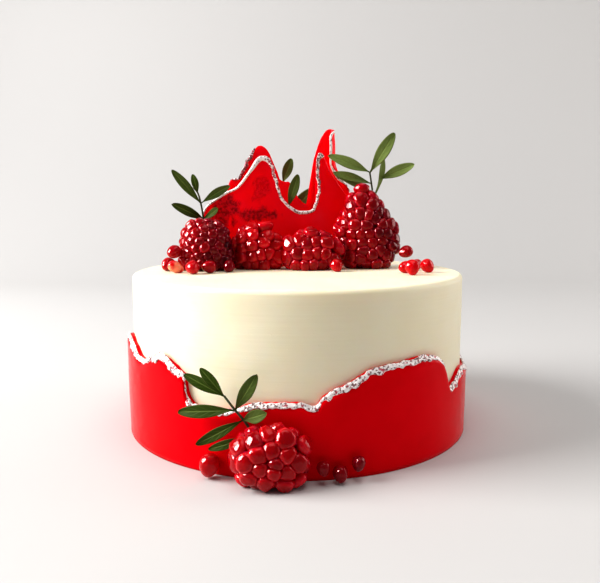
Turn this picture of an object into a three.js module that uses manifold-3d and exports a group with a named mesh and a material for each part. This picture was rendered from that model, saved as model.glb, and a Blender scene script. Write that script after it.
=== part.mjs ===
// A decorated celebration cake. A tall round cake in smooth white cream has its lower half wrapped
// in a skin of red glaze, whose upper lip is torn. On top stand two thin curved sails of the same
// glaze, with chunks of pomegranate, loose seeds and sprigs of leaves round them. One more chunk
// lies at the foot. Millimetres, +Z up, front towards -Y; the origin is the middle of the foot.

import * as THREE from "three";
import { ConvexHull } from "three/addons/math/ConvexHull.js";
import { mergeVertices } from "three/addons/utils/BufferGeometryUtils.js";
import Module from "manifold-3d";

const wasm = await Module();
wasm.setup();

// Driving dimensions
const GAP = 0.3; // kept between pieces that touch
const CAKE_RADIUS = 90;
const CAKE_HEIGHT = 83.6;
const CAKE_EDGE = 2.5; // rounding of the cream's top edge
const CAKE_FOOT_EDGE = 0.6; // bevel of its foot
const CAKE_SIDES = 60;

const BAND_THICKNESS = 3.6; // how far the red skin stands off the cream, gap included
const BAND_FOOT_THICKNESS = 3.3; // it is pressed thinner at the foot
const BAND_FOOT_RISE = 25; // height over which it thickens
const BAND_CLEARANCE = 0.5; // its lower edge is clear of the ground
const BAND_LIP_BEVEL = 0.5; // its lip is this much thinner on the outside
const BAND_COLUMNS = 96;

const SAIL_THICKNESS = 1.6;
const SAIL_BOW = 0.002; // how strongly a sail curves in plan
const SAIL_SLANT = 0.15; // and how much its right end falls back
const SAIL_COLUMNS = 42;
const SAIL_WAVE = { depth: 0.7, along: 0.16, up: 0.07 }; // ripples: depth, and turns per mm

const SEED_VALLEY = 1.9; // depth of the creases between a chunk's seeds
const SEED_SHOULDER = 0.4; // how far a seed's shoulder lies below its crown
const SEED_SPREAD = 0.68; // how far out the shoulder lies, as a share of the way to the crease
const ROLL = 0.07; // how much a chunk's form swells and shrinks, as a share of its size
const SEED_UNEVEN = 0.015; // and how much each seed does
const SPREAD_ROUNDS = 40; // steps in which the seeds push each other apart
const SPREAD_PUSH = 0.5;
const SEED_TAPER = 0.18; // a loose seed is this much wider at one end
const SEED_SIDES = 6;
const SEED_RINGS = 5;
const PLAIN_FROM = 0.15; // seeds are plain beyond this share of the half depth

const LEAF_THICKNESS = 0.5;
const LEAF_CELLS = 6; // along a leaf, closer together towards its tip
const LEAF_FOLD = 0.12; // how far its edges rise off the midrib, as a share of its width
const LEAF_WAVE = 0.35;
const STEM_RADIUS = 0.65;
const STEM_SIDES = 5;
const STEM_STEPS = 7;

// The torn lip of the red skin: degrees round from the front, right positive, and height.
const LIP = [
  [-180, 39], [-166, 43], [-152, 35], [-141, 33], [-128, 41], [-117, 49], [-104, 50],
  [-92, 46], [-81, 50], [-71.5, 53], [-63, 49.7], [-56, 45.2], [-50, 47.6], [-43.4, 50.4],
  [-36.8, 46], [-33.9, 43], [-33.3, 37], [-31.8, 32], [-27.8, 29.6], [-18.4, 30.6],
  [-13, 33.6], [0, 34.8], [5, 33.2], [7.5, 37.8], [14.9, 43.2], [21, 48], [31, 50],
  [41, 50.8], [45.2, 49.4], [48.4, 46.4], [50.2, 42.4], [52.1, 35.6], [53.6, 31.9],
  [55, 31.5], [58.6, 33.6], [62.9, 36.7], [68, 37.2], [76, 35], [86, 34], [97, 40],
  [108, 43], [117, 36], [130, 31], [144, 38], [158, 47], [170, 44], [180, 39],
];

// Top edges of the sails, from left to right: distance along the sail and height above the cake.
const FRONT_SAIL = {
  depth: 21,
  edge: [
    [-56, 22], [-55.3, 31.1], [-52.9, 35.7], [-42.2, 43.2], [-35.2, 46.7], [-27.6, 56.4],
    [-22.9, 63], [-20, 64.1], [-17.1, 63.3], [-14.8, 59.9], [-12, 50.2], [-8.5, 39.8],
    [-0.9, 33.4], [3.8, 32.5], [7.9, 33.4], [11.4, 41.6], [11.6, 48], [10.7, 58],
    [13.1, 65.6], [14.9, 64.8], [19.1, 56.2], [25.7, 46.9], [34.3, 35.7], [37.5, 27],
  ],
};
const BACK_SAIL = {
  depth: 34,
  // The right edge rolls forward; lower down, the roll starts further right and dies away.
  curl: { start: 18.9, radius: 2.6, flare: 10, flareFrom: 40, flareTo: 62 },
  edge: [
    [-42.5, 43], [-40, 51.5], [-35.8, 52.4], [-30.3, 62.4], [-25.4, 70], [-21.9, 71.8],
    [-18.6, 69.4], [-12.4, 56.6], [-10, 51], [-5.2, 50], [1.4, 39.3], [5.4, 36.8], [7.4, 41],
    [7.8, 53.1], [10.5, 66.3], [14.6, 77], [18.3, 81.3], [21.5, 81.2], [24.5, 80.2],
    [26.6, 77.5], [27.2, 70], [27.8, 62], [30.5, 53], [31.5, 42],
  ],
};

const NO_CURL = { start: 1000, radius: 1, flare: 0, flareFrom: 0, flareTo: 1 };

// Chunks of pomegranate: the middle and half sizes of each one's outer form, the spacing of its
// seeds, and the box that flattens it where it lies on the cake or against its neighbours. Above
// its middle a chunk may lean to the right, by a share of the height, and taper by a share of its
// width at the very top. The seeds on the side that leans on something are plain: the back, or
// the front where it is -1.
const TOP = CAKE_HEIGHT + GAP;
const CHUNKS = {
  chunk_left: {
    middle: [-51.4, -1, TOP + 10], half: [16.2, 11.5, 20.4], pitch: 6.4, turn: 0.3,
    low: [-80, -30, TOP], high: [-33, 13, 200],
  },
  chunk_middle_left: {
    middle: [-23, 7.2, TOP + 9], half: [16.6, 9.5, 18.2], pitch: 7, turn: 1.1,
    low: [-60, -20, TOP], high: [-8.6, 16.6, 200],
  },
  chunk_middle_right: {
    middle: [7, 3.2, TOP + 8], half: [18.4, 9.5, 15.4], pitch: 7.4, turn: 2.3,
    low: [-8.3, -20, TOP], high: [60, 17, 200],
  },
  chunk_right: {
    middle: [40.4, 14.5, TOP + 17.5], half: [18.8, 13, 33], pitch: 6.4, turn: 1.57,
    low: [10, -20, TOP], high: [80, 25.2, 200], lean: -0.11, taper: 0.65,
  },
  chunk_rear: {
    middle: [1, 54, TOP + 8], half: [18, 10.5, 21], pitch: 7, turn: 1.9,
    low: [-40, 40, TOP], high: [40, 80, 200], plainSide: -1,
  },
  chunk_foot: {
    middle: [-11, -98, 12], half: [19.2, 11, 16.8], pitch: 7.4, turn: 0.5,
    low: [-60, -140, 0], high: [60, -40, 60], standsOff: 96.2,
  },
};

// Loose seeds: the middle in plan, the height of the middle (null where the seed lies on the
// cake's top), width and length, and the turn and tilt of the long axis in degrees.
const SEEDS = {
  seed_left_1: { at: [-71.6, -5, null], size: [7.4, 8.6], turn: 60, tilt: 20 },
  seed_left_2: { at: [-65.4, -15.5, null], size: [6.2, 9.4], turn: 205, tilt: 24 },
  seed_left_3: { at: [-55.4, -22, null], size: [7.4, 8.4], turn: 100, tilt: 10 },
  seed_left_4: { at: [-47.4, -17, null], size: [6.8, 8], turn: 20, tilt: 0 },
  seed_left_5: { at: [-37.4, -11, null], size: [6.4, 7.6], turn: 80, tilt: 30 },
  seed_left_6: { at: [-67.5, -9, 94.5], size: [7.2, 8.2], turn: 40, tilt: 20 },
  seed_middle: { at: [21.4, -9.5, null], size: [6.6, 7.4], turn: 130, tilt: 50 },
  seed_right_1: { at: [61.6, 6, 93.4], size: [7, 8.4], turn: 10, tilt: 15 },
  seed_right_2: { at: [66, -3, null], size: [6.4, 7.8], turn: 70, tilt: 0 },
  seed_right_3: { at: [57.6, -17, null], size: [6.6, 7.6], turn: 30, tilt: 0 },
  seed_right_4: { at: [59.8, -27.5, null], size: [7.6, 8.6], turn: 95, tilt: 60 },
  seed_right_5: { at: [70.4, -13.5, null], size: [7, 8], turn: 140, tilt: 50 },
  seed_rear_1: { at: [26, 50, null], size: [6.8, 8], turn: 40, tilt: 10 },
  seed_rear_2: { at: [-22, 61, null], size: [7, 8.4], turn: 150, tilt: 20 },
  seed_rear_3: { at: [14, 70, null], size: [6.6, 7.8], turn: 95, tilt: 50 },
  seed_foot_left: { at: [-38.6, -90.2, 6], size: [8.8, 11], turn: 0, tilt: 80 },
  seed_foot_1: { at: [11.6, -97.2, 7.4], size: [5.8, 6.6], turn: 100, tilt: 60 },
  seed_foot_2: { at: [19, -95.6, 4.3], size: [6.6, 7.8], turn: 100, tilt: 65 },
  seed_foot_3: { at: [27, -93.4, 8.2], size: [6, 7], turn: 75, tilt: 60 },
};

// Sprigs: the stem's route, and each leaf's foot, tip and width. Heights are above the cake's
// top, but for the sprig at the foot, whose heights are above the ground. A leaf's face looks
// towards the front unless it says otherwise.
const SPRIGS = {
  sprig_left: {
    floor: CAKE_HEIGHT,
    stem: [[-53, 14, 0.4], [-53.6, 14.4, 14], [-54.2, 13, 27.5], [-54.9, 8.5, 37.1],
      [-56.3, 7, 43.1], [-58.6, 6, 46.2]],
    leaves: [
      { foot: [-54.9, 8.5, 37.1], tip: [-70, 3, 55.6], width: 5.2 },
      { foot: [-56.3, 7, 43], tip: [-58.7, 5, 53.4], width: 4, bend: 1.6 },
      { foot: [-54.2, 13, 28.1], tip: [-69.9, 0, 36.8], width: 5.6 },
      { foot: [-54.9, 8.5, 37.1], tip: [-40.2, 23.5, 47.4], width: 5.2 },
      { foot: [-54.2, 13, 28.3], tip: [-44.6, 4, 34.6], width: 4.2, bend: -1 },
    ],
  },
  sprig_right: {
    floor: CAKE_HEIGHT,
    stem: [[47, 30, 0.4], [46.6, 31, 20], [45.4, 30.6, 40], [43.6, 26, 49.5], [42.4, 24, 55.4]],
    leaves: [
      { foot: [42.5, 24.2, 55.1], tip: [56.2, 22, 77.8], width: 7.6 },
      { foot: [42.5, 24.2, 55.1], tip: [17.6, 20, 64.6], width: 6.6, bend: 1.5 },
      {
        foot: [45.4, 30.4, 41], tip: [50.2, 27, 64.7], width: 5, bend: 1.8,
        facing: [0.8, -0.75, 0.1],
      },
      { foot: [48.6, 30, 51.4], tip: [68.6, 24, 59.9], width: 6.6, bend: 1 },
      { foot: [43.9, 26.8, 48.6], tip: [20.6, 20, 54.8], width: 5, bend: 1.5 },
      { foot: [45, 29.8, 43], tip: [21.2, 21, 54], width: 4.6, bend: 2.5 },
    ],
  },
  sprig_back: {
    floor: CAKE_HEIGHT,
    stem: [[-6, 41, 0.4], [-6.6, 41.6, 20], [-6.4, 41, 36], [-9.4, 41, 50]],
    leaves: [
      { foot: [-9.3, 41, 49.6], tip: [-3.8, 41, 64.5], width: 6 },
      { foot: [-6.5, 41.3, 30], tip: [10.6, 38.5, 46.8], width: 7.4 },
    ],
  },
  sprig_between: {
    floor: CAKE_HEIGHT,
    stem: [[-6, 26.6, 0.4], [-6.4, 27.2, 18], [-5.6, 27, 35.5]],
    leaves: [
      { foot: [-5.6, 27, 35.2], tip: [0.2, 28, 54.3], width: 6 },
    ],
  },
  sprig_foot: {
    floor: 0,
    stem: [[-18.4, -93.1, 14], [-19.8, -92.9, 20], [-21.2, -92.5, 24.7], [-23.6, -93.4, 28.6],
      [-26.9, -94.4, 33.1], [-31.2, -93.6, 38.6]],
    leaves: [
      { foot: [-31, -93.6, 38.3], tip: [-41.8, -90, 49.8], width: 4.6 },
      { foot: [-31, -93.6, 38.3], tip: [-49.2, -87.4, 46.4], width: 5 },
      { foot: [-26.4, -94.3, 32.5], tip: [-16.8, -97, 49], width: 6 },
      { foot: [-26.4, -94.3, 32.5], tip: [-52.2, -87, 29.4], width: 6 },
      { foot: [-23, -93.3, 27.9], tip: [-43.6, -94, 17], width: 5, bend: 1 },
      { foot: [-23, -93.3, 27.9], tip: [-12.6, -98.4, 32.6], width: 6 },
      { foot: [-19.8, -92.9, 20.4], tip: [-39, -88, 12.6], width: 4.2, facing: [-0.3, -1, 0] },
    ],
  },
};

const LOOKS = {
  cream: { color: 0xf3ecd2, roughness: 0.55, metalness: 0 },
  glaze: { color: 0xc20008, roughness: 0.25, metalness: 0 },
  seed: { color: 0xb00018, roughness: 0.15, metalness: 0 },
  leaf: { color: 0x3f5c1c, roughness: 0.5, metalness: 0 },
};

const lerp = THREE.MathUtils.lerp;
const radians = THREE.MathUtils.degToRad;
const smoothstep = THREE.MathUtils.smoothstep;

/** The point at a radius and an angle from the front, right positive. */
function round(radius, angle, z) {
  return [radius * Math.sin(angle), -radius * Math.cos(angle), z];
}

/** A geometry with its faces' corners joined, so that only positions are left. */
function weld(geometry) {
  const bare = geometry.clone();
  bare.deleteAttribute("normal");
  bare.deleteAttribute("uv");
  return mergeVertices(bare, 1e-4);
}

/** A geometry from lists of corners and triangles. */
function fromLists(points, triangles) {
  const geometry = new THREE.BufferGeometry();
  geometry.setAttribute("position", new THREE.Float32BufferAttribute(points.flat(), 3));
  geometry.setIndex(triangles.flat());
  return geometry;
}

/** A closed geometry as a solid that can be joined and cut. */
function toSolid(geometry) {
  const closed = weld(geometry);
  const vertProperties = new Float32Array(closed.attributes.position.array);
  const triVerts = new Uint32Array(closed.index.array);
  return new wasm.Manifold(new wasm.Mesh({ numProp: 3, vertProperties, triVerts }));
}

/** A solid's surface as a geometry. */
function toGeometry(solid) {
  const mesh = solid.getMesh();
  const geometry = new THREE.BufferGeometry();
  geometry.setAttribute("position", new THREE.BufferAttribute(mesh.vertProperties, 3));
  geometry.setIndex(new THREE.BufferAttribute(mesh.triVerts, 1));
  return geometry;
}

/**
 * A thin closed sheet of columns x rows cells, both faces split into triangles alike.
 * place(u, v, side) gives the point at u and v from 0 to 1; side is 1 on the face that looks
 * along du x dv, and -1 on the other. A ring closes on itself along u.
 */
function sheet(columns, rows, place, ring = false) {
  const across = ring ? columns : columns + 1;
  const points = [];
  for (const side of [1, -1]) {
    for (let j = 0; j <= rows; j++) {
      for (let i = 0; i < across; i++) points.push(place(i / columns, j / rows, side));
    }
  }
  const at = (i, j, back) => (back * (rows + 1) + j) * across + (i % across);
  const triangles = [];
  const quad = (a, b, c, d) => triangles.push([a, b, c], [a, c, d]);
  for (let i = 0; i < columns; i++) {
    for (let j = 0; j < rows; j++) {
      quad(at(i, j, 0), at(i + 1, j, 0), at(i + 1, j + 1, 0), at(i, j + 1, 0));
      quad(at(i + 1, j, 1), at(i, j, 1), at(i, j + 1, 1), at(i + 1, j + 1, 1));
    }
    quad(at(i, 0, 1), at(i + 1, 0, 1), at(i + 1, 0, 0), at(i, 0, 0));
    quad(at(i, rows, 0), at(i + 1, rows, 0), at(i + 1, rows, 1), at(i, rows, 1));
  }
  for (let j = 0; j < rows && !ring; j++) {
    quad(at(0, j, 1), at(0, j, 0), at(0, j + 1, 0), at(0, j + 1, 1));
    quad(at(columns, j, 0), at(columns, j, 1), at(columns, j + 1, 1), at(columns, j + 1, 0));
  }
  return fromLists(points, triangles);
}

/** A smooth curve through flat points, read by its share of the length. */
function flatCurve(points) {
  const corners = points.map(([x, y]) => new THREE.Vector3(x, y, 0));
  const curve = new THREE.CatmullRomCurve3(corners, false, "centripetal");
  curve.arcLengthDivisions = 2000;
  return curve;
}

/** The cake: one solid round, with a soft top edge. */
function cake() {
  const profile = [[0, 0], [CAKE_RADIUS - CAKE_FOOT_EDGE, 0], [CAKE_RADIUS, CAKE_FOOT_EDGE]];
  for (const angle of [0, 45, 90]) {
    const out = CAKE_RADIUS - CAKE_EDGE * (1 - Math.cos(radians(angle)));
    profile.push([out, CAKE_HEIGHT - CAKE_EDGE * (1 - Math.sin(radians(angle)))]);
  }
  profile.push([0, CAKE_HEIGHT]);
  const points = profile.map(([x, y]) => new THREE.Vector2(x, y));
  return weld(new THREE.LatheGeometry(points, CAKE_SIDES).rotateX(Math.PI / 2));
}

/** The red skin round the foot: a ring wall whose top follows the torn lip. */
function redBand() {
  const inner = CAKE_RADIUS + GAP;
  const lip = flatCurve(LIP.map(([degrees, z]) => [radians(degrees) * inner, z]));
  const levels = [0, 0.35, 0.9, 1];
  const rows = levels.length - 1;
  return sheet(BAND_COLUMNS, rows, (u, v, side) => {
    const crest = lip.getPointAt(u);
    const z = lerp(BAND_CLEARANCE, crest.y, levels[Math.round(v * rows)]);
    const swell = smoothstep(z, 0, BAND_FOOT_RISE);
    const bevel = v === 1 ? BAND_LIP_BEVEL : 0;
    const outer = CAKE_RADIUS + lerp(BAND_FOOT_THICKNESS, BAND_THICKNESS, swell) - bevel;
    return round(side > 0 ? outer : inner, crest.x / inner, z);
  }, true);
}

/** Where a sail stands: the point at a distance along it, and its direction there, in plan. */
function sailPlan({ depth, curl = NO_CURL }, along, height) {
  const start = curl.start + curl.flare * (1 - smoothstep(height, curl.flareFrom, curl.flareTo));
  const flat = Math.min(along, start);
  const angle = Math.min(Math.max(along - start, 0) / curl.radius, Math.PI);
  const heading = Math.atan(SAIL_SLANT + 2 * SAIL_BOW * flat) - angle;
  const bowed = depth + SAIL_SLANT * flat + SAIL_BOW * flat * flat;
  const x = flat + curl.radius * Math.sin(angle);
  const y = bowed - curl.radius * (1 - Math.cos(angle));
  return { x, y, tangent: [Math.cos(heading), Math.sin(heading)] };
}

/** A sail: a thin wall of glaze, gently waved, from the cake's top to its peaked edge. */
function sail(shape) {
  const edge = flatCurve(shape.edge);
  const first = shape.edge[0][0];
  const last = shape.edge.at(-1)[0];
  return sheet(SAIL_COLUMNS, 3, (u, v, side) => {
    const crest = edge.getPointAt(u);
    const along = lerp(lerp(first, last, u), crest.x, v);
    const height = lerp(GAP, crest.y, v);
    const { x, y, tangent } = sailPlan(shape, along, height);
    const wave = SAIL_WAVE.depth * Math.sin(SAIL_WAVE.along * along + SAIL_WAVE.up * height);
    const off = (side * SAIL_THICKNESS) / 2 - wave;
    return [x + tangent[1] * off, y - tangent[0] * off, CAKE_HEIGHT + height];
  });
}

/** Points spread evenly over an ellipsoid: a spiral whose points then push each other apart. */
function spread(half, pitch, turn) {
  const power = 1.6075;
  const sides = [half.x * half.y, half.x * half.z, half.y * half.z];
  const mean = sides.reduce((sum, side) => sum + side ** power, 0) / 3;
  const area = 4 * Math.PI * mean ** (1 / power);
  const count = Math.round(area / (pitch * pitch * Math.sqrt(0.75)));
  const points = [];
  for (let i = 0; i < count; i++) {
    const up = 1 - (2 * i + 1) / count;
    const angle = i * Math.PI * (3 - Math.sqrt(5)) + turn;
    const out = Math.sqrt(1 - up * up);
    points.push(new THREE.Vector3(out * Math.cos(angle), out * Math.sin(angle), up).multiply(half));
  }
  const reach = 2 * pitch;
  for (let step = 0; step < SPREAD_ROUNDS; step++) {
    const moved = points.map((point) => {
      const push = new THREE.Vector3();
      for (const other of points) {
        const distance = point.distanceTo(other);
        if (distance === 0 || distance > reach) continue;
        const strength = (SPREAD_PUSH * pitch * (1 - distance / reach) ** 2) / distance;
        push.addScaledVector(point, strength).addScaledVector(other, -strength);
      }
      return push.add(point).divide(half).normalize().multiply(half);
    });
    points.forEach((point, i) => point.copy(moved[i]));
  }
  return points;
}

/** How far a chunk's form swells or shrinks at a point on its ellipsoid. */
function uneven(point, turn) {
  const roll = Math.sin(0.17 * point.x + 5 * turn) * Math.sin(0.19 * point.z + 3 * turn);
  const own = Math.sin(1.7 * point.x + 2.3 * point.y + 1.9 * point.z);
  return 1 + ROLL * roll + SEED_UNEVEN * own;
}

/**
 * The seeds of a chunk as one closed skin. The convex hull of the points' directions tells which
 * seeds are neighbours. Each seed is a crown with a ring of shoulders, and a crease vertex lies
 * between every three.
 */
function seedSkin(half, pitch, turn, plainSide) {
  const points = spread(half, pitch, turn);
  const directions = points.map((point) => point.clone().normalize());
  const seedOf = new Map(directions.map((direction, i) => [direction, i]));
  const faces = new ConvexHull().setFromPoints(directions).faces;
  const faceIndex = new Map(faces.map((face, i) => [face, i]));
  const sunk = (point, depth) => {
    const outward = point.clone().divide(half).divide(half).normalize();
    return point.clone().multiplyScalar(uneven(point, turn)).addScaledVector(outward, -depth);
  };
  const corners = (face) => {
    return [face.edge.prev, face.edge, face.edge.next].map((edge) => seedOf.get(edge.head().point));
  };
  const crowns = points.map((point) => sunk(point, 0));
  const creases = [];
  const shoulders = [];
  for (const face of faces) {
    const seeds = corners(face).map((seed) => points[seed]);
    const middle = new THREE.Vector3();
    for (const seed of seeds) middle.addScaledVector(seed, 1 / 3);
    creases.push(sunk(middle, SEED_VALLEY));
    for (const seed of seeds) {
      shoulders.push(sunk(seed.clone().lerp(middle, SEED_SPREAD), SEED_SHOULDER));
    }
  }
  const creaseAt = (face) => points.length + faceIndex.get(face);
  const shoulderAt = (face, seed) => {
    const place = corners(face).indexOf(seed);
    return points.length + faces.length + 3 * faceIndex.get(face) + place;
  };
  const triangles = [];
  for (const face of faces) {
    for (const edge of [face.edge, face.edge.next, face.edge.prev]) {
      const seed = seedOf.get(edge.tail().point);
      const other = edge.twin.face;
      const [nearCrease, farCrease] = [creaseAt(other), creaseAt(face)];
      if (points[seed].y * plainSide > PLAIN_FROM * half.y) {
        triangles.push([seed, nearCrease, farCrease]);
        continue;
      }
      const [near, far] = [shoulderAt(other, seed), shoulderAt(face, seed)];
      triangles.push([seed, near, far]);
      triangles.push([near, nearCrease, farCrease], [near, farCrease, far]);
    }
  }
  const used = [...new Set(triangles.flat())];
  const all = [...crowns, ...creases, ...shoulders];
  const renumbered = new Map(used.map((old, i) => [old, i]));
  const kept = used.map((old) => all[old].toArray());
  return fromLists(kept, triangles.map((triangle) => triangle.map((old) => renumbered.get(old))));
}

/** A chunk of pomegranate: seeds over an uneven form, flattened where it rests. */
function chunk({ middle, half, pitch, turn, low, high, standsOff, lean = 0, taper = 0, plainSide = 1 }) {
  const skin = seedSkin(new THREE.Vector3(...half), pitch, turn, plainSide);
  const position = skin.attributes.position;
  for (let i = 0; i < position.count; i++) {
    const up = Math.max(position.getZ(i), 0);
    const narrow = 1 - taper * (up / half[2]) ** 2;
    position.setX(i, position.getX(i) * narrow + lean * up);
    position.setY(i, position.getY(i) * narrow);
  }
  skin.translate(...middle);
  const size = high.map((value, i) => value - low[i]);
  const centre = high.map((value, i) => (value + low[i]) / 2);
  const room = toSolid(new THREE.BoxGeometry(...size).translate(...centre));
  const cut = toSolid(skin).intersect(room);
  if (!standsOff) return toGeometry(cut);
  const wall = new THREE.CylinderGeometry(standsOff, standsOff, 200, 2 * CAKE_SIDES);
  return toGeometry(cut.subtract(toSolid(wall.rotateX(Math.PI / 2))));
}

/** A loose seed: a faceted drop, lying on the cake's top unless its height is given. */
function looseSeed({ at, size: [width, length], turn, tilt }) {
  const drop = new THREE.SphereGeometry(1, SEED_SIDES, SEED_RINGS);
  const position = drop.attributes.position;
  for (let i = 0; i < position.count; i++) {
    const taper = (width / 2) * (1 + SEED_TAPER * position.getY(i));
    position.setX(i, position.getX(i) * taper);
    position.setZ(i, position.getZ(i) * taper);
    position.setY(i, (position.getY(i) * length) / 2);
  }
  drop.rotateX(radians(tilt)).rotateZ(radians(turn - 90));
  drop.computeBoundingBox();
  const height = at[2] ?? TOP - drop.boundingBox.min.z;
  return weld(drop.translate(at[0], at[1], height));
}

/** A leaf: a thin waved sheet, folded a little along its midrib and narrow at both ends. */
function leaf({ foot, tip, width, bend = 0.8, facing = [0.1, -1, 0.25] }, floor) {
  const start = new THREE.Vector3(...foot).setZ(foot[2] + floor);
  const along = new THREE.Vector3(...tip).setZ(tip[2] + floor).sub(start);
  const length = along.length();
  const axis = along.clone().normalize();
  const normal = new THREE.Vector3(...facing).projectOnPlane(axis).normalize();
  const across = normal.clone().cross(axis);
  return sheet(LEAF_CELLS, 2, (share, v, side) => {
    const u = Math.sin((Math.PI / 2) * share);
    const edge = 2 * v - 1;
    const arch = Math.max(Math.sin(Math.PI * u ** 1.25), 0) ** (0.95 - 0.45 * u);
    const reach = (width / 2) * Math.max(arch, 0.1);
    const wave = LEAF_WAVE * edge * Math.sin(7 * u + length);
    const lift = bend * Math.sin(Math.PI * u) + LEAF_FOLD * width * edge * edge + wave;
    const point = start.clone().addScaledVector(axis, u * length);
    point.addScaledVector(across, edge * reach);
    return point.addScaledVector(normal, lift + (side * LEAF_THICKNESS) / 2).toArray();
  });
}

/** A sprig: leaves joined to a thin stem. */
function sprig({ floor, stem, leaves }) {
  const route = stem.map(([x, y, z]) => new THREE.Vector3(x, y, z + floor));
  const section = new THREE.Shape();
  for (let i = 0; i < STEM_SIDES; i++) {
    const angle = (i * 2 * Math.PI) / STEM_SIDES;
    const corner = [STEM_RADIUS * Math.cos(angle), STEM_RADIUS * Math.sin(angle)];
    if (i === 0) section.moveTo(...corner);
    else section.lineTo(...corner);
  }
  const extrudePath = new THREE.CatmullRomCurve3(route);
  const options = { extrudePath, steps: STEM_STEPS, bevelEnabled: false };
  const twig = toSolid(new THREE.ExtrudeGeometry(section, options));
  return toGeometry(leaves.reduce((joined, one) => joined.add(toSolid(leaf(one, floor))), twig));
}

const group = new THREE.Group();

/** Adds a piece under its name, in one of the looks. */
function add(name, geometry, look) {
  const mesh = new THREE.Mesh(geometry, new THREE.MeshStandardMaterial(LOOKS[look]));
  mesh.name = name;
  group.add(mesh);
}

add("cake", cake(), "cream");
add("red_band", redBand(), "glaze");
add("front_sail", sail(FRONT_SAIL), "glaze");
add("back_sail", sail(BACK_SAIL), "glaze");
for (const [name, shape] of Object.entries(CHUNKS)) add(name, chunk(shape), "seed");
for (const [name, shape] of Object.entries(SEEDS)) add(name, looseSeed(shape), "seed");
for (const [name, shape] of Object.entries(SPRIGS)) add(name, sprig(shape), "leaf");

export default group;
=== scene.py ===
# A decorated celebration cake. A tall round cake in smooth white cream wears a torn red glaze
# skin round its foot. On top stand two red glaze sails with silvered edges, chunks of
# pomegranate, loose seeds and leaf sprigs, and one more chunk lies at the foot. The front looks
# towards -Y. Sizes are in millimetres and become metres where a mesh is made; the lights and the
# camera are placed in metres.

import itertools
import math

import bpy
import numpy as np
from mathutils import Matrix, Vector


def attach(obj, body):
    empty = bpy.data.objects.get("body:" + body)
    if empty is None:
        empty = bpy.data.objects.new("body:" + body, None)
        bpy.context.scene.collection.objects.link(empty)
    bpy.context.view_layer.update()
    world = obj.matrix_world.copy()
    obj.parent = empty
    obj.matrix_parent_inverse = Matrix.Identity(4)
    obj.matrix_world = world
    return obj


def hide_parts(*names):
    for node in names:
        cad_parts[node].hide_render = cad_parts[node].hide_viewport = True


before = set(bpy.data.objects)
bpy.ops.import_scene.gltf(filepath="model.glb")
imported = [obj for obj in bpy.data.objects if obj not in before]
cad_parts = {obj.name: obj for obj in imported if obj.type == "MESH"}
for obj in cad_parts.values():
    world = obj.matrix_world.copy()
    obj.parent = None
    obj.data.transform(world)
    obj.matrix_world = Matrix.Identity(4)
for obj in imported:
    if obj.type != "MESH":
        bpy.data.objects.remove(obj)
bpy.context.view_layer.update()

# ---- The cake ----
# A tall round sponge under smooth white cream. The cream was drawn flat with a scraper while
# the cake turned, which leaves faint level lines and a soft top edge.

CAKE_RADIUS = 90.0
CAKE_HEIGHT = 83.6
TOP_EDGE = 2.2  # rounding of the cream's top edge
FOOT_EDGE = 0.6  # and the bevel at its foot
CREAM_COLUMNS = 320  # steps round the cake
SIDE_RINGS = 50
TOP_RINGS = 44
SCRAPER_WAVE = 0.16  # how far the scraper's hand wandered
CREAM_LIGHT = (0.93, 0.85, 0.635, 1)
CREAM_DEEP = (0.91, 0.82, 0.59, 1)
CREAM_DEPTH = 0.004  # how far light spreads in the cream, in metres
METRES = 0.001  # metres in a millimetre


def noise(places, size, seed):
    """Soft random numbers from -1 to 1, one for each place: random numbers on the corners of a
    cubic lattice of the given size, blended smoothly in between."""
    corners = 32
    lattice = np.random.default_rng(seed).uniform(-1, 1, (corners, corners, corners))
    scaled = np.asarray(places) / size
    cell = np.floor(scaled).astype(int)
    part = scaled - cell
    part = part * part * (3 - 2 * part)
    total = np.zeros(scaled.shape[:-1])
    for corner in itertools.product((0, 1), repeat=3):
        at = (cell + corner) % corners
        share = np.where(corner, part, 1 - part).prod(axis=-1)
        total += share * lattice[at[..., 0], at[..., 1], at[..., 2]]
    return total


def smooth_step(value, low, high):
    """0 below low and 1 above high, with a soft rise between: 3t squared less 2t cubed."""
    t = np.clip((value - low) / (high - low), 0, 1)
    return t * t * (3 - 2 * t)


def round_faces(rings, around):
    """Faces of a ball-like skin: a pole, rings of points, and a second pole. Each ring closes on
    itself and is joined to the next by quads; triangles close the poles."""
    column = np.arange(around)
    after = (column + 1) % around
    ring = 1 + around * np.arange(rings - 1)[:, None]
    below = ring + around
    quads = np.stack([ring + column, below + column, below + after, ring + after], -1)
    last = 1 + around * (rings - 1)
    first_cap = np.stack([0 * column, 1 + column, 1 + after], -1)
    last_cap = np.stack([0 * column + last + around, last + after, last + column], -1)
    return quads.reshape(-1, 4).tolist() + first_cap.tolist() + last_cap.tolist()


def shaped(name, points, faces, finishes, finish_of_face=None, values=None):
    """One object with its place in its mesh: points in millimetres, smooth faces, its finishes,
    and any values kept at each point for them to read."""
    mesh = bpy.data.meshes.new(name)
    mesh.from_pydata((np.asarray(points).reshape(-1, 3) * METRES).tolist(), [], faces)
    for finish in finishes:
        mesh.materials.append(finish)
    if finish_of_face is not None:
        mesh.polygons.foreach_set("material_index", np.asarray(finish_of_face, dtype=np.int32))
    mesh.polygons.foreach_set("use_smooth", np.ones(len(mesh.polygons), dtype=bool))
    for key, value in (values or {}).items():
        layer = mesh.attributes.new(key, "FLOAT", "POINT")
        layer.data.foreach_set("value", np.asarray(value, dtype=np.float32).ravel())
    mesh.update()
    made = bpy.data.objects.new(name, mesh)
    bpy.context.scene.collection.objects.link(made)
    return made


def make_piece(*recipe, **more):
    """A shaped piece of the cake, which moves with its one body."""
    piece = shaped(*recipe, **more)
    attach(piece, "root")
    return piece


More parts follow.
